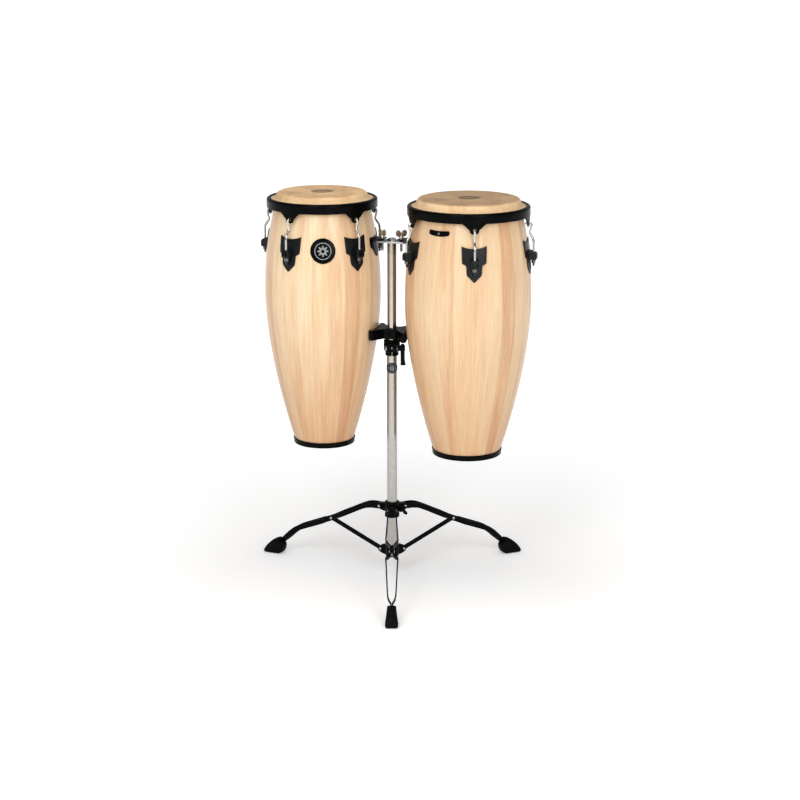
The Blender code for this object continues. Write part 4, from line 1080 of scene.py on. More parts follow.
def bracket(word):
    radius = SHELL_R[word]
    level = BRACKET_LEVEL
    shape = [
        (-0.006, 0.90, 0.0), (-0.002, 0.97, 0.0), (0.004, 1.0, 0.0), (0.012, 1.0, 0.0), (0.019, 0.985, 0.0),
        (0.022, 0.95, 0.0), (0.0265, 0.66, 0.0), (0.030, 0.58, 0.0), (0.036, 0.45, 0.0), (0.042, 0.30, 0.0),
        (0.047, 0.15, 0.0), (0.048, 0.08, 0.0),
    ]
    rows = [(level + depth, wide * LUG_HALF, sag) for depth, wide, sag in shape]
    base = bent_plate(rows, radius, 0.0028, columns=18)
    bolt_low, bolt_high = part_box(f"{word}_bracket_wing_bolt")
    bolt = PLACES[word].inverted() @ ((bolt_low + bolt_high) / 2)
    tip = bolt.x + 0.0085
    root = radius(level) + 0.0018
    corner = 0.005
    outline = [(root, -LEDGE_HALF), *arc(tip - corner, -LEDGE_HALF + corner, corner, -90, 0)]
    outline += [*arc(tip - corner, LEDGE_HALF - corner, corner, 0, 90), (root, LEDGE_HALF)]
    ledge = plate(outline, -level, -level + LEDGE_THICKNESS)
    slot_r = BOLT_R + 0.0007
    slot = plate(
        [*arc(bolt.x, 0, slot_r, 90, 270, 12), (tip + 0.01, -slot_r), (tip + 0.01, slot_r)],
        -level - 0.01, -level + 0.01,
    )
    carved(ledge, slot)
    eased(ledge, 0.0006)
    joined(base, ledge)
    takes_over(moved(base, PLACES[word]), f"{word}_mount_bracket", BLACK)


for word in DRUMS:
    bracket(word)
    say(f"{word}_mount_bracket")

# %% [markdown]
# ## Badges
# The small drum carries a round badge between its two front lugs, and the large one a thin
# lens under its rim. Both are thin plastic bent to the shell, with the generic rosette.

# %% Badges
def round_rows(depth, half_wide, half_high):
    slopes = [math.radians(-88 + 11 * k) for k in range(17)]
    return [(depth + half_high * math.sin(a), half_wide * math.cos(a), 0.0) for a in slopes]


def smile_rows(depth, half_wide, half_high):
    """A band of nearly even width with rounded ends, sagging in the middle."""
    shares = [k / 5 - 1 for k in range(11)]
    return [
        (depth + 0.68 * half_high * k, half_wide * (1 - 0.13 * abs(k) ** 3), half_high * (0.26 + 0.08 * k))
        for k in shares
    ]


def badge(word, rows, centre_depth, print_r, petals):
    angle = LUG_SHIFT[word] + (-72 if word == "small" else 72)
    piece = bent_plate(rows, SHELL_R[word], 0.0016, columns=28, ease=0.0005)
    place = PLACES[word] @ turn(angle)
    centre = place @ Vector((0, 0, -centre_depth))
    facing = math.degrees(place.to_euler().z)
    finish = printed(f"{word}_badge_print", centre, facing, print_r, petals)
    takes_over(moved(piece, place), f"{word}_badge", finish)


badge("small", round_rows(0.140, 0.034, 0.034), 0.140, 0.0235, 8.0)
badge("large", smile_rows(0.0735, 0.031, 0.0095), 0.0760, 0.0036, 6.0)
for word in DRUMS:
    say(f"{word}_badge")

# %% [markdown]
# ## Post
# Two tubes slide one in the other. Both are spun with softened ends. A cross hole for the
# transport pin goes through the lower one, low on the post.

# %% Tubes
CROSS_HOLE_Z = 0.446


def tube(node_name, wall, finish, hole_z=None):
    low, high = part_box(node_name)
    outer = (high.x - low.x) / 2
    inner = outer - wall
    ease = 0.0004
    outline = []
    for end, into in ((low.z, ease), (high.z, -ease)):
        edge = [(inner, end + into), (inner + ease, end), (outer - ease, end), (outer, end + into)]
        outline += edge if into > 0 else edge[::-1]
    piece = lathe(outline, 64)
    if hole_z:
        carved(piece, rod((-0.03, 0, hole_z), (0.03, 0, hole_z), 0.0034))
    takes_over(moved(piece, POST), node_name, finish)


tube("lower_tube", 0.0011, NICKEL, CROSS_HOLE_Z)
tube("upper_tube", 0.0015, TUBE_CHROME)
say("lower_tube")
say("upper_tube")

# %% [markdown]
# ## Height clamp
# The clamp is a split sleeve with a pair of cheeks in front. A bolt across the cheeks is drawn
# up by the lever, and it shows bright in the slit. The sleeve is spun, the cheeks are a block
# with rounded edges, and the slit is cut through both.

# %% Clamp, bush and bolt
clamp_low, clamp_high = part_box("height_clamp")
BOLT_LINE = Vector(JOINTS["clamp_lever_hinge"]["pos_m"]) - POST.translation
CHEEK_HALF = 0.014
CHEEK_HALF_HIGH = 0.0125
CLAMP_NECK = 0.0186
CLAMP_WIDE = 0.0228
BUSH_SEAT = 0.0164
SLIT_HALF = 0.0009
UPPER_TUBE_R = 0.0127


def clamp():
    low, high, step = clamp_low.z, clamp_high.z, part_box("lower_tube")[1].z
    grip, round_off = TUBE_R + 0.0004, 0.0012
    groove = CLAMP_NECK - 0.0006
    outline = [(grip, low + 0.0006), (grip + 0.0006, low)]
    outline += arc(CLAMP_NECK - round_off, low + round_off, round_off, -90, 0, 3)
    outline += [(CLAMP_NECK, low + 0.004), (groove, low + 0.0046), (groove, low + 0.0062)]
    outline += [(CLAMP_NECK, low + 0.0068), (CLAMP_NECK, step - 0.001)]
    outline += [(CLAMP_WIDE - round_off, step + 0.0026), (CLAMP_WIDE, step + 0.0042)]
    groove = CLAMP_WIDE - 0.0008
    outline += [(CLAMP_WIDE, high - 0.0090), (groove, high - 0.0084), (groove, high - 0.0068)]
    outline += [(CLAMP_WIDE, high - 0.0062), *arc(CLAMP_WIDE - 0.0018, high - 0.0018, 0.0018, 0, 90, 4)]
    outline += [(BUSH_SEAT, high), (BUSH_SEAT, step), (grip, step)]
    sleeve = lathe(outline, 72)
    front, nose = BOLT_LINE.y - 0.0075, 0.0075
    above, below = BOLT_LINE.z + CHEEK_HALF_HIGH, BOLT_LINE.z - CHEEK_HALF_HIGH
    side = [*arc(front + nose, above - nose, nose, 180, 90, 5), (-BUSH_SEAT - 0.0016, above)]
    side += [(-BUSH_SEAT - 0.0016, below), *arc(front + nose, below + nose, nose, 270, 180, 5)]
    to_yz = Matrix(((0, 0, 1, 0), (1, 0, 0, 0), (0, 1, 0, 0), (0, 0, 0, 1)))
    cheeks = moved(plate(side, -CHEEK_HALF, CHEEK_HALF), to_yz)
    eased(cheeks, 0.0012, 3)
    bore = rod((-0.03, BOLT_LINE.y, BOLT_LINE.z), (0.03, BOLT_LINE.y, BOLT_LINE.z), BOLT_R + 0.0005)
    for half, cutters in ((sleeve, []), (cheeks, [bore])):
        slit = block((-SLIT_HALF, front - 0.01, low - 0.01), (SLIT_HALF, -0.01, high + 0.01))
        carved(half, slit, *cutters)
    takes_over(moved(joined(sleeve, cheeks), POST), "height_clamp", BLACK)


def clamp_bolt():
    line = (BOLT_LINE.y, BOLT_LINE.z)
    shank = rod((-CHEEK_HALF - 0.003, *line), (BOLT_LINE.x - 0.004, *line), 0.0038)
    head = hexagon_nut(0.0066, 0.0055)
    moved(head, at(-CHEEK_HALF - 0.0059, *line) @ turn(90, "Y"))
    takes_over(moved(joined(shank, head), POST), "clamp_bolt", CHROME)


def bush():
    low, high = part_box("tube_bush")
    outer, inner = (high.x - low.x) / 2, UPPER_TUBE_R + 0.0004
    neck = outer - 0.0015
    lip = clamp_high.z + 0.0004
    outline = [(inner, low.z), (neck, low.z), (neck, lip), (outer - 0.0004, lip), (outer, lip + 0.0004)]
    outline += [(outer, high.z - 0.0004), (outer - 0.0004, high.z)]
    outline += [(inner + 0.0005, high.z), (inner, high.z - 0.0005)]
    takes_over(moved(lathe(outline, 64), POST), "tube_bush", NYLON)


clamp()
clamp_bolt()
bush()
say("height_clamp")

# %% [markdown]
# ## Clamp lever
# The lever is a moulded hub round the bolt with a blade that hangs from it and flares at its
# end for a thumb. The blade is lofted through rounded sections, and a bright washer sits
# between its hub and the clamp.

# %% Lever
def rounded_section(half_x, half_y, corner, steps=3):
    """Corners of a rounded rectangle, in order."""
    points = []
    for cx, cy, start in ((1, 1, 0), (-1, 1, 90), (-1, -1, 180), (1, -1, 270)):
        points += arc(cx * (half_x - corner), cy * (half_y - corner), corner, start, start + 90, steps)
    return points


LEVER_BORE = 0.0042
LEVER_GAP = 0.0014


def lever():
    x, y, z = BOLT_LINE
    top, length = 0.012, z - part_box("clamp_lever")[0].z
    shape = [
        (top, 0.0032, 0.0034, 0.0), (top - 0.0012, 0.0046, 0.0042, 0.0),
        (top - 0.004, 0.0060, 0.0046, 0.0), (0.0, 0.0064, 0.0046, 0.0),
        (-0.4 * length, 0.0058, 0.0042, 0.0), (-0.68 * length, 0.0060, 0.0041, 0.0003),
        (-0.85 * length, 0.0066, 0.0043, 0.0008), (-0.95 * length, 0.0073, 0.0045, 0.0012),
        (-0.985 * length, 0.0072, 0.0042, 0.0013), (-length, 0.0064, 0.0034, 0.0013),
    ]
    rings = []
    for rise, wide, deep, aside in shape:
        bow = -0.0014 * math.sin(math.pi * (top - rise) / (top + length))
        rings.append([(x + aside + a, y + b + bow, z + rise) for a, b in rounded_section(wide, deep, 0.0018)])
    blade = loft(rings)
    span = x + 0.0070 - CHEEK_HALF - LEVER_GAP
    outline = [(LEVER_BORE, 0), (0.0072, 0), (0.0078, 0.0006), (0.0078, span - 0.0014), (0.0066, span)]
    outline += [(0.0, span), (0.0, span - 0.002), (LEVER_BORE, span - 0.002)]
    hub = moved(lathe(outline, 40), at(CHEEK_HALF + LEVER_GAP, y, z) @ turn(90, "Y"))
    takes_over(moved(joined(hub, blade), POST), "clamp_lever", NYLON)
    flat_ring = moved(washer(LEVER_BORE, 0.0086, 0.0010, 40), at(CHEEK_HALF + 0.0003, y, z) @ turn(90, "Y"))
    flat_ring.name = "lever_washer"
    dressed(moved(flat_ring, POST), "lever", "chrome", CHROME)


lever()
say("clamp_lever")

# %% [markdown]
# ## Stand emblem
# A small round plate is bent round the front of the lower tube, just under the clamp.

# %% Emblem
def emblem():
    low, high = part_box("stand_emblem")
    radius = (high.z - low.z) / 2
    centre_z = (high.z + low.z) / 2
    rows = []
    for k in range(15):
        slope = math.radians(-84 + 12 * k)
        half = min(radius * math.cos(slope), 0.94 * TUBE_R)
        rows.append((-centre_z + radius * math.sin(slope), TUBE_R * math.asin(half / TUBE_R), 0.0))
    piece = bent_plate(rows, lambda depth: TUBE_R, 0.0009, 0.0006, 20, 0.0003)
    place = POST @ turn(-90)
    finish = printed("emblem_print", place @ Vector((0, 0, centre_z)), -90, radius * 0.80, 6.0)
    takes_over(moved(piece, place), "stand_emblem", finish)


emblem()
say("stand_emblem")

# %% [markdown]
# ## Crossbar
# A thick steel plate on the post's top, turned with the line through the drums. It has round
# corners, a hole for each wing bolt and a locknut in the middle.

# %% Crossbar
BOLT_X = 0.027


def crossbar():
    top = PLATE_TOP
    thick, half_long, half_wide = 0.0047, 0.042, 0.0225
    piece = plate(rounded_section(half_long, half_wide, 0.006, 5), top - thick, top)
    holes = [rod((x, 0, top - 0.02), (x, 0, top + 0.02), BOLT_R + 0.0005) for x in (-BOLT_X, BOLT_X)]
    eased(carved(piece, *holes), 0.0007)
    plug = rod((0, 0, top - thick - 0.03), (0, 0, top - thick + 0.001), 0.0105, 40)
    nut = moved(hexagon_nut(0.0125, 0.0065), at(0, 0, top - 0.0002))
    screw = moved(button(0.0055, 0.0015, 0.0046, 0.0022, 24), at(0, 0, top + 0.006))
    takes_over(moved(joined(piece, plug, nut, screw), CARRIER), "crossbar", ZINC)


crossbar()
say("crossbar")

# %% [markdown]
# ## Wing bolts
# A wing bolt is a turned collar and shank with two rounded wings. Each wing is a thick disc
# with soft edges, leaned outwards. The tip of the shank shows under the crossbar, threaded.

# %% Wing bolts
def wing_bolt(shank, shank_r, wing_r, reach, rise, lean):
    """Drawn upright: the flange rests at zero and the wings stand above it."""
    outline = [(0, -shank), (shank_r * 0.7, -shank)]
    turns = int((shank - 0.002) / 0.0014)
    for k in range(turns):
        z = -shank + 0.0008 + k * 0.0014
        outline += [(shank_r * 0.84, z), (shank_r, z + 0.0007)]
    outline += [(shank_r, 0), (0.0072, 0), (0.0078, 0.0006), (0.0078, 0.0016), (0.0060, 0.0030)]
    outline += [(0.0056, 0.0080), (0.0048, 0.0100), (0.0028, 0.0112), (0, 0.0114)]
    body = lathe(outline, 32)
    wings = []
    for side in (-1, 1):
        disc = rod((0, -0.0017, 0), (0, 0.0017, 0), wing_r, 32)
        eased(disc, 0.0012, 3)
        moved(disc, Matrix.Diagonal((0.82, 1, 1, 1)))
        moved(disc, at(side * reach, 0, rise) @ turn(side * lean, "Y"))
        stem = eased(block((-0.0028, -0.0016, -wing_r * 1.5), (0.0028, 0.0016, 0)), 0.0008, 2)
        moved(stem, at(side * reach, 0, rise) @ turn(side * (lean + 8), "Y"))
        wings += [disc, stem]
    return joined(body, *wings)


WING_TURN = 35
CARRIER_TURN = 16.5  # the carrier's line through the drums


def bracket_bolts():
    flange = PLATE_TOP + LEDGE_THICKNESS + 0.0008
    for word, side in (("small", -1), ("large", 1)):
        piece = wing_bolt(shank=0.033, shank_r=BOLT_R, wing_r=0.0098, reach=0.0084, rise=0.0172, lean=24)
        low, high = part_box(f"{word}_bracket_wing_bolt")
        place = at((low.x + high.x) / 2, (low.y + high.y) / 2, flange)
        moved(piece, place @ turn(side * WING_TURN - CARRIER_TURN))
        takes_over(piece, f"{word}_bracket_wing_bolt", NICKEL)


def collar_bolt():
    hinge = JOINTS["collar_bolt_turn"]
    piece = wing_bolt(shank=0.0152, shank_r=0.003, wing_r=0.0078, reach=0.0085, rise=0.0105, lean=40)
    out = math.degrees(math.atan2(hinge["axis"][1], hinge["axis"][0]))
    moved(piece, Matrix.Translation(hinge["pos_m"]) @ turn(out) @ turn(90, "Y") @ turn(20))
    takes_over(piece, "collar_wing_bolt", BLACK)


bracket_bolts()
collar_bolt()
say("small_bracket_wing_bolt")
say("collar_wing_bolt")

# %% [markdown]
# ## Cradle
# The shells lean against a block on the upper tube. It is hollowed on both sides to the shells
# and faced with rubber. Its outline is drawn with the hollows as arcs about the drums' own
# axes, pushed up to its height and rounded, and a collar with a set screw grips the tube.

# %% Cradle and pads
PAD_THICKNESS = 0.0035
SLOT_HALF = 0.0006
SLOT_REACH = 0.0030
SET_SCREW_Y = 0.0232
CRADLE_HUB_R = 0.0225
CRADLE_BORE = 0.0131
PAD_HALF_ANGLE = 18.8


def drum_axis(word):
    """The drum's axis in the carrier's own drawing."""
    return (CARRIER.inverted() @ PLACES[word].translation).x


def hollow(word, radius, half_angle, steps=14):
    side = 1 if drum_axis(word) > 0 else -1
    points = []
    for k in range(steps + 1):
        a = math.radians(half_angle * (2 * k / steps - 1))
        points.append((drum_axis(word) - side * radius * math.cos(a), -side * radius * math.sin(a)))
    return points


def cradle():
    low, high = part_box("cradle")
    low_z, high_z = low.z, high.z
    hub_r = CRADLE_HUB_R
    outline = []
    for word, side in (("small", -1), ("large", 1)):
        face = PLACES[word].translation.z
        contact = max(SHELL_R[word](face - z) for z in (low_z, high_z)) + 0.0008
        inside = hollow(word, contact, PAD_HALF_ANGLE)
        back = hollow(word, contact + PAD_THICKNESS, PAD_HALF_ANGLE)
        pad = eased(plate(inside + back[::-1], low_z + 0.001, high_z - 0.001), 0.0008)
        takes_over(moved(pad, CARRIER), f"{word}_cradle_pad", RUBBER)
        bed = hollow(word, contact + PAD_THICKNESS + 0.0004, 20.0)
        tips = hollow(word, contact + PAD_THICKNESS + 0.0098, 19.2, 1)
        waist = [(side * 0.75 * hub_r, y * hub_r) for y in (-side, side)]
        outline += [(0, side * 1.05 * hub_r), waist[1], tips[0]] + bed + [tips[1], waist[0]]
    body = eased(plate(outline, low_z, high_z), 0.0016, 3)
    carved(body, rod((0, 0, low_z - 0.01), (0, 0, high_z + 0.01), CRADLE_BORE, 56))
    outer = [(CRADLE_BORE, high_z - 0.001), (0.0192, high_z - 0.001), (0.0192, high_z - 0.0002)]
    collar = lathe(outer + [(0.0184, high_z + 0.0002), (CRADLE_BORE, high_z + 0.0002)], 56)
    takes_over(moved(joined(body, collar), CARRIER), "cradle", BLACK)
    screws = []
    for y in (-SET_SCREW_Y, SET_SCREW_Y):
        out = 1 if y > 0 else -1
        head = button(0.0042, 0.0020, 0.0036, 0.0026, 24)
        slots = [(SLOT_HALF, SLOT_REACH), (SLOT_REACH, SLOT_HALF)]
        carved(head, *[block((-x, -y, 0.0014), (x, y, 0.0040)) for x, y in slots])
        screws.append(moved(head, at(0, y, (low_z + high_z) / 2) @ turn(-90 * out, "X")))
    whole = moved(joined(*screws), CARRIER)
    whole.name = "cradle_set_screws"
    dressed(whole, "carrier", "chrome", BLACK)


cradle()
say("cradle")

# %% [markdown]
# ## Leg planes and rivets
# Each leg folds in an upright plane through the post. A piece of a leg is drawn in XZ and then
# turned to its plane, which comes from the axis of the leg's hinge. A rivet is a pin with a
# domed head at each end, and it is bright, so it is a piece of its own.

# %% Leg planes
LEGS = (1, 2, 3)


def leg_plane(number):
    """Turns a piece drawn in the XZ plane, with the post on Z, to its leg."""
    axis = JOINTS[f"leg_{number}_hinge"]["axis"]
    return POST @ Matrix.Rotation(math.atan2(-axis[0], axis[1]), 4, "Z")


def pivot_of(joint, number):
    """Radius and height of a pivot in its leg's plane."""
    point = leg_plane(number).inverted() @ Vector(JOINTS[joint]["pos_m"])
    return point.x, point.z


PIVOT_R, COLLAR_PIVOT_Z = pivot_of("leg_1_hinge", 1)
HUB_PIVOT_Z = pivot_of("strut_1_hinge", 1)[1]
STRUT_PIVOT = (0.201, (COLLAR_PIVOT_Z + HUB_PIVOT_Z) / 2)
PIN_R = 0.0028
BAR_THICKNESS = 0.0035
STRUT_HALF = 0.002
BLOCK_HALF_WIDE = 0.0085
print("pivots", round(PIVOT_R, 4), round(COLLAR_PIVOT_Z, 4), round(HUB_PIVOT_Z, 4))


def rivet(half, radius=0.0036, head=0.0014):
    """A pin along Y with a domed head at each end."""
    crown = [(radius, head * 0.35), (radius * 0.8, head * 0.78), (radius * 0.4, head)]
    dome = lathe([(0, 0), (radius, 0), *crown, (0, head)], 28)
    ends = [copied(dome, at(0, side * half, 0) @ turn(-90 * side, "X")) for side in (-1, 1)]
    bpy.data.objects.remove(dome, do_unlink=True)
    return joined(rod((0, -half, 0), (0, half, 0), PIN_R, 20), *ends)


# %% [markdown]
# ## Tripod hub and collar
# The collar slides on the post and carries the legs, and the hub at the foot carries the
# struts. Both are spun, with a pinned block or a pair of leaf-shaped ears for every leg.

# %% Hub and collar
def hub():
    low, high = HUB_PIVOT_Z - 0.017, HUB_PIVOT_Z + 0.018
    inner, outer, floor = TUBE_R + 0.0005, 0.0192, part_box("lower_tube")[0].z - 0.0004
    outline = [(0, low), *arc(outer - 0.004, low + 0.004, 0.004, -90, 0, 5)]
    outline += [(outer, high - 0.001), (outer - 0.001, high), (inner, high), (inner, floor), (0, floor)]
    body = lathe(outline, 64)
    near, far = STRUT_HALF + 0.0006, STRUT_HALF + 0.0036
    leaf = through([
        (inner + 0.001, low + 0.001), (PIVOT_R - 0.008, HUB_PIVOT_Z - 0.0130),
        (PIVOT_R + 0.003, HUB_PIVOT_Z - 0.0078), (PIVOT_R + 0.0078, HUB_PIVOT_Z),
        (PIVOT_R + 0.003, HUB_PIVOT_Z + 0.0082), (PIVOT_R - 0.008, HUB_PIVOT_Z + 0.0134),
        (inner + 0.001, high - 0.001),
    ], 4)
    middle = (near + far) / 2
    ears = []
    for number in LEGS:
        spin = POST.inverted() @ leg_plane(number)
        for side in (-1, 1):
            ear = eased(upright(leaf, (far - near) / 2), 0.0006)
            ears.append(moved(ear, spin @ at(0, side * middle, 0)))
        pin = rivet(far)
        pin.name = f"hub_rivet_{number}"
        dressed(moved(pin, leg_plane(number) @ at(PIVOT_R, 0, HUB_PIVOT_Z)), "root", "chrome", ZINC)
    takes_over(moved(joined(body, *ears), POST), "lower_hub", BLACK)


def collar():
    low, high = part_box("leg_collar")[0].z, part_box("leg_collar")[1].z
    inner, outer = TUBE_R + 0.0005, 0.0208
    waist = outer - 0.0022
    outline = [(inner, low), *arc(outer - 0.001, low + 0.001, 0.001, -90, 0, 3), (outer, low + 0.009)]
    outline += [(outer - 0.0006, low + 0.0105), (waist, low + 0.0125), (waist, low + 0.0195)]
    outline += [(outer - 0.0006, low + 0.0215), (outer, low + 0.023)]
    outline += [*arc(outer - 0.001, high - 0.001, 0.001, 0, 90, 3), (inner, high)]
    body = lathe(outline, 64)
    reach = PIVOT_R + 0.0065
    side = [
        (inner + 0.002, -0.014), (PIVOT_R - 0.004, -0.0108), (reach - 0.002, -0.0065), (reach, -0.003),
        (reach, 0.004), (reach - 0.0025, 0.0078), (PIVOT_R, 0.0092), (inner + 0.002, 0.0095),
    ]
    side = [(x, COLLAR_PIVOT_Z + z) for x, z in side]
    extras = []
    for number in LEGS:
        spin = POST.inverted() @ leg_plane(number)
        extras.append(moved(eased(upright(side, BLOCK_HALF_WIDE), 0.0010, 2), spin))
        pin = rivet(BLOCK_HALF_WIDE + BAR_THICKNESS + 0.0008)
        pin.name = f"collar_rivet_{number}"
        dressed(moved(pin, leg_plane(number) @ at(PIVOT_R, 0, COLLAR_PIVOT_Z)), "collar", "chrome", ZINC)
    hinge = JOINTS["collar_bolt_turn"]
    out = POST.inverted().to_3x3() @ Vector(hinge["axis"])
    foot = POST.inverted() @ Vector(hinge["pos_m"])
    boss = rod(foot - out * (outer - inner + 0.007), foot - out * 0.0004, 0.0075, 32)
    extras.append(eased(boss, 0.0008))
    takes_over(moved(joined(body, *extras), POST), "leg_collar", BLACK)


hub()
collar()
say("lower_hub")
say("leg_collar")

# %% [markdown]
# ## Legs
# A leg is two flat bars. They start at the collar, spread, are pinched onto the strut, spread
# again and come together in the foot. Each bar is a rounded section lofted along that line.

# %% Leg bars
KNEE = (0.078, 0.200)
ANKLE = (0.318, 0.089)
FOOT_ENTRY = (0.3735, 0.0391)
BAR_HALF_HIGH = 0.00775


def leg_height(r):
    line = [(PIVOT_R, COLLAR_PIVOT_Z), KNEE, STRUT_PIVOT, ANKLE, FOOT_ENTRY]
    for (r0, z0), (r1, z1) in zip(line, line[1:]):
        if r <= r1 or (r1, z1) == line[-1]:
            return z0 + (z1 - z0) * (r - r0) / (r1 - r0)


def flat_bar(stations, half_thick, half_high, corner):
    """A rounded flat bar through (radius, height, side) stations, standing on edge."""
    section = rounded_section(half_high, half_thick, corner)
    rings = []
    for k, (r, z, side) in enumerate(stations):
        before, after = stations[max(k - 1, 0)], stations[min(k + 1, len(stations) - 1)]
        along = Vector((after[0] - before[0], after[1] - before[1])).normalized()
        rings.append([(r - along.y * up, side + out, z + along.x * up) for up, out in section])
    return loft(rings)


def leg_bars(number):
    near = BLOCK_HALF_WIDE + 0.0004 + BAR_THICKNESS / 2
    pinched, knee, widest = 0.00435, 0.0118, 0.0165
    r = STRUT_PIVOT[0]
    slope = math.atan2(ANKLE[1] - FOOT_ENTRY[1], FOOT_ENTRY[0] - ANKLE[0])
    end_r = FOOT_ENTRY[0] + 0.018 * math.cos(slope)
    spread = [
        (PIVOT_R - 0.008, near), (PIVOT_R + 0.012, near),
        (KNEE[0] - 0.012, knee + 0.0002), (KNEE[0] + 0.012, knee + 0.0006),
        (r - 0.060, widest - 0.0012), (r - 0.036, widest), (r - 0.026, widest - 0.005), (r - 0.014, pinched),
        (r, pinched), (r + 0.014, pinched), (r + 0.022, widest - 0.006), (r + 0.030, widest),
        (r + 0.052, widest - 0.0012),
        (ANKLE[0] - 0.012, 0.0134), (ANKLE[0] + 0.012, 0.0122), (FOOT_ENTRY[0] - 0.026, 0.0108),
        (FOOT_ENTRY[0] - 0.016, 0.0078), (FOOT_ENTRY[0] - 0.008, BAR_THICKNESS / 2 + 0.0006),
        (FOOT_ENTRY[0], BAR_THICKNESS / 2 + 0.0004), (end_r, BAR_THICKNESS / 2 + 0.0004),
    ]
    path = through([(x, leg_height(x), side) for x, side in spread], 4)
    for word, side in (("left", 1), ("right", -1)):
        piece = flat_bar([(x, z, side * y) for x, z, y in path], BAR_THICKNESS / 2, BAR_HALF_HIGH, 0.0012)
        takes_over(moved(piece, leg_plane(number)), f"leg_{number}_{word}_bar", BLACK)
    pin = rivet(pinched + BAR_THICKNESS / 2, 0.0040, 0.0016)
    pin.name = f"strut_rivet_{number}"
    moved(pin, leg_plane(number) @ at(STRUT_PIVOT[0], 0, STRUT_PIVOT[1]))
    dressed(pin, f"leg_{number}", "chrome", ZINC)


print(f"the strut's pivot is {leg_height(STRUT_PIVOT[0]) * 1000:.0f} mm above the floor")

# %% [markdown]
# ### Struts
# A strut is a straight flat bar with round ends and a hole at each. Its outline is two half
# circles joined by straight sides, pushed up to its thickness and bored. Each leg's bars are
# built together with the strut that they are pinned to.

# %% Struts
STRUT_END_R = 0.006325


def strut(number):
    start, end = Vector((PIVOT_R, HUB_PIVOT_Z)), Vector(STRUT_PIVOT)
    along = (end - start).normalized()
    across = Vector((-along.y, along.x))
    outline = []
    for centre, first in ((start, 90), (end, -90)):
        for k in range(9):
            a = math.radians(first + 22.5 * k)
            outline.append(tuple(centre + (along * math.cos(a) + across * math.sin(a)) * STRUT_END_R))
    piece = upright(outline, STRUT_HALF)
    holes = [rod((x, -0.02, z), (x, 0.02, z), PIN_R + 0.0002) for x, z in (start, end)]
    eased(carved(piece, *holes), 0.0006)
    takes_over(moved(piece, leg_plane(number)), f"strut_{number}", BLACK)


for number in LEGS:
    leg_bars(number)
    strut(number)
say("leg_1_left_bar")
say("strut_1")

# %% [markdown]
# ## Rubber feet
# A foot is a moulded shoe: a square mouth for the bars, ribs round the instep for grip, and a
# domed toe on a flat sole. It is lofted from heel to toe between a top line and a sole line,
# and every other ring is drawn in a little to make the ribs.

# %% Feet
RIBS = 6
FOOT_TOE_R = 0.431
FOOT_STEPS = 56
RIB_DEPTH = 0.0013


def along_line(points, share):
    """The point at a share of the way along a chain of points."""
    lengths = [math.dist(a, b) for a, b in zip(points, points[1:])]
    left = share * sum(lengths)
    for (a, b), length in zip(zip(points, points[1:]), lengths):
        if left <= length:
            return Vector(a).lerp(Vector(b), left / length)
        left -= length
    return Vector(points[-1])


def foot(number):
    slope = math.atan2(ANKLE[1] - FOOT_ENTRY[1], FOOT_ENTRY[0] - ANKLE[0])
    across = Vector((math.sin(slope), math.cos(slope)))
    mouth = Vector(FOOT_ENTRY)
    toe = FOOT_TOE_R
    over = through([
        mouth + across * 0.0125, (0.3900, 0.0468), (0.4010, 0.0405), (toe - 0.014, 0.0262),
        (toe - 0.0035, 0.0120), (toe - 0.0005, 0.0058),
    ], 5)
    under = through([mouth - across * 0.0150, (0.3650, 0.0165), (0.3715, 0.0055)], 4)
    under += [(toe - 0.050, 0.0), (toe - 0.030, 0.0), (toe - 0.006, 0.0), (toe - 0.0010, 0.0022)]
    rings = []
    for k in range(FOOT_STEPS + 1):
        share = k / FOOT_STEPS
        top, sole = along_line(over, share), along_line(under, share)
        wide = 0.0120 + 0.0058 * min(1.0, share * 1.2)
        if share > 0.80:
            wide *= math.sqrt(max(0.02, 1 - ((share - 0.80) / 0.215) ** 2 * 0.55))
        groove = 0.0
        if 0.05 < share < 0.62:
            phase = (share - 0.05) / 0.57 * RIBS
            groove = RIB_DEPTH * (0.5 - 0.5 * math.cos(math.tau * phase)) ** 2
        middle, half = (top + sole) / 2, (top - sole) / 2
        ring = []
        for a, b in rounded_section(1.0, 1.0, 0.42, 4):
            up = half * b * (1 - (groove / half.length if b > -0.95 else 0.0))
            ring.append((middle.x + up.x, a * (wide - groove), max(0.0, middle.y + up.y)))
        rings.append(ring)
    piece = loft(rings)
    takes_over(moved(piece, leg_plane(number)), f"leg_{number}_foot", RUBBER)


for number in LEGS:
    foot(number)
say("leg_1_foot")

# %% [markdown]
# ## Floor
# A product picture has a plain pale ground that runs on into the background. The floor glows
# faintly, and more so far from the stand, so that it stays white behind the drums while the
# feet keep a soft shadow.

# %% Floor
FLOOR_SIZE = 120
GLOW_NEAR, GLOW_FAR = 0.5, 3.0
bpy.ops.object.select_all(action="DESELECT")
bpy.ops.mesh.primitive_plane_add(size=FLOOR_SIZE)
floor = bpy.context.object
floor.name = "floor"
white = surface("pale_floor", (0.93, 0.93, 0.93), 0.85, Specular_IOR_Level=0.2, Emission_Color=(1, 1, 1, 1))
reach = node(white, "VectorMath", {0: position(white)}, output=1, operation="LENGTH")
far_glow = node(white, "MapRange", {0: reach, 1: GLOW_NEAR, 2: GLOW_FAR, 3: 0.22, 4: 0.85})
white.node_tree.links.new(far_glow, white.node_tree.nodes["Principled BSDF"].inputs["Emission Strength"])
floor.data.materials.append(white)
print("floor", FLOOR_SIZE, "m wide")

# %% [markdown]
# ## Sky
# The light from the front is dimmer than the light from behind, which keeps black coats black
# and still draws a pale edge down the tubes. The sky's strength is a smooth step along Y.

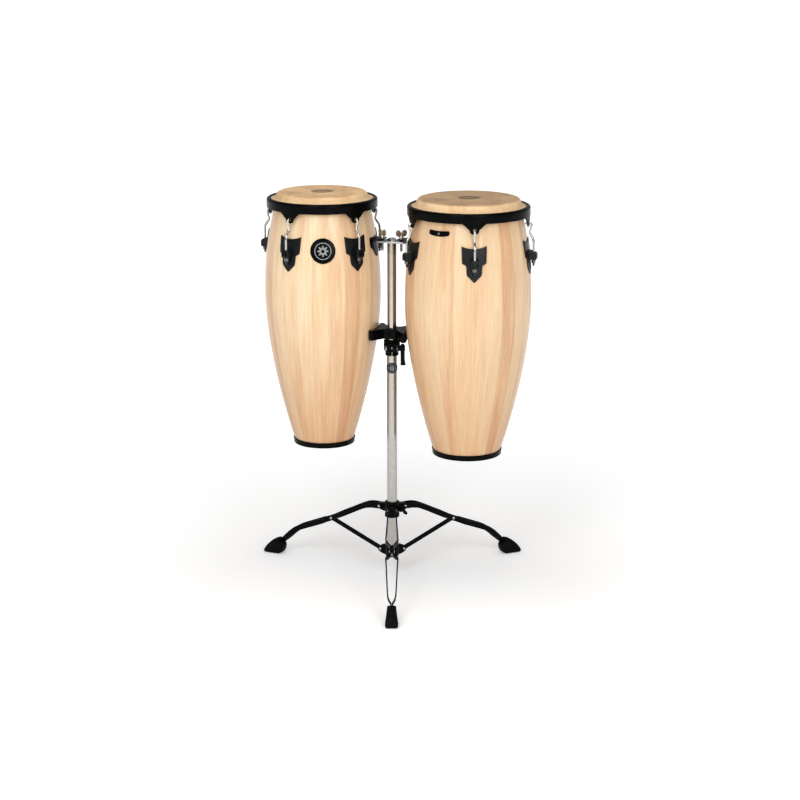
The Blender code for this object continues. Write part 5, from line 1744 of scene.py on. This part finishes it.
# %% Sky
FRONT_SKY = 0.22
BACK_SKY = 0.40
world = bpy.data.worlds.new("studio")
bpy.context.scene.world = world
world.use_nodes = True
sky = world.node_tree
facing = sky.nodes.new("ShaderNodeTexCoord").outputs["Generated"]
split = sky.nodes.new("ShaderNodeSeparateXYZ")
sky.links.new(facing, split.inputs[0])
fade = sky.nodes.new("ShaderNodeMapRange")
fade.interpolation_type = "SMOOTHSTEP"
for socket, value in (("From Min", -0.45), ("From Max", 0.35), ("To Min", FRONT_SKY), ("To Max", BACK_SKY)):
    fade.inputs[socket].default_value = value
sky.links.new(split.outputs["Y"], fade.inputs["Value"])
sky.links.new(fade.outputs[0], sky.nodes["Background"].inputs["Strength"])
sky.nodes["Background"].inputs["Color"].default_value = (1, 1, 1, 1)
print("sky", FRONT_SKY, "in front,", BACK_SKY, "behind")

# %% [markdown]
# ## Softboxes
# Two large area lamps stand in front, left and right, and a wide one hangs overhead for the
# skins. Large lamps near the axis of view give round drums a soft fall of light to the sides.

# %% Softboxes
LIT_POINT = Vector((0, 0, 0.75))


def softbox(name, where, width, height, power, target=LIT_POINT):
    """An area lamp that faces its target."""
    bpy.ops.object.light_add(type="AREA", location=where)
    lamp = bpy.context.object
    lamp.name = name
    lamp.data.shape = "RECTANGLE"
    lamp.data.size = width
    lamp.data.size_y = height
    lamp.data.energy = power
    lamp.rotation_euler = (target - Vector(where)).to_track_quat("-Z", "Y").to_euler()


softbox("key", (-1.5, -3.9, 3.0), 1.8, 2.4, 88)
softbox("fill", (1.6, -3.9, 2.4), 1.6, 2.2, 62)
softbox("top", (0.0, -0.6, 3.8), 2.6, 2.6, 42, Vector((0, 0, 0.8)))
print(len(bpy.data.lights), "lamps")

# %% [markdown]
# ## Camera
# A long lens from about five metres, a little above the drums, keeps the verticals upright and
# lets the round skins show as narrow ovals.

# %% Camera
CAMERA_FROM_POST = Vector((0.0223, -5.4245, 1.9265))
CAMERA_TILT = 14.59
LENS = 90.45
bpy.ops.object.camera_add(
    location=POST.translation + CAMERA_FROM_POST, rotation=(math.radians(90 - CAMERA_TILT), 0, 0),
)
camera = bpy.context.object
camera.data.lens = LENS
camera.data.sensor_width = 36
bpy.context.scene.camera = camera
bpy.context.scene.view_settings.view_transform = "Standard"
print("camera", [round(value, 3) for value in camera.location], "lens", LENS, "mm")
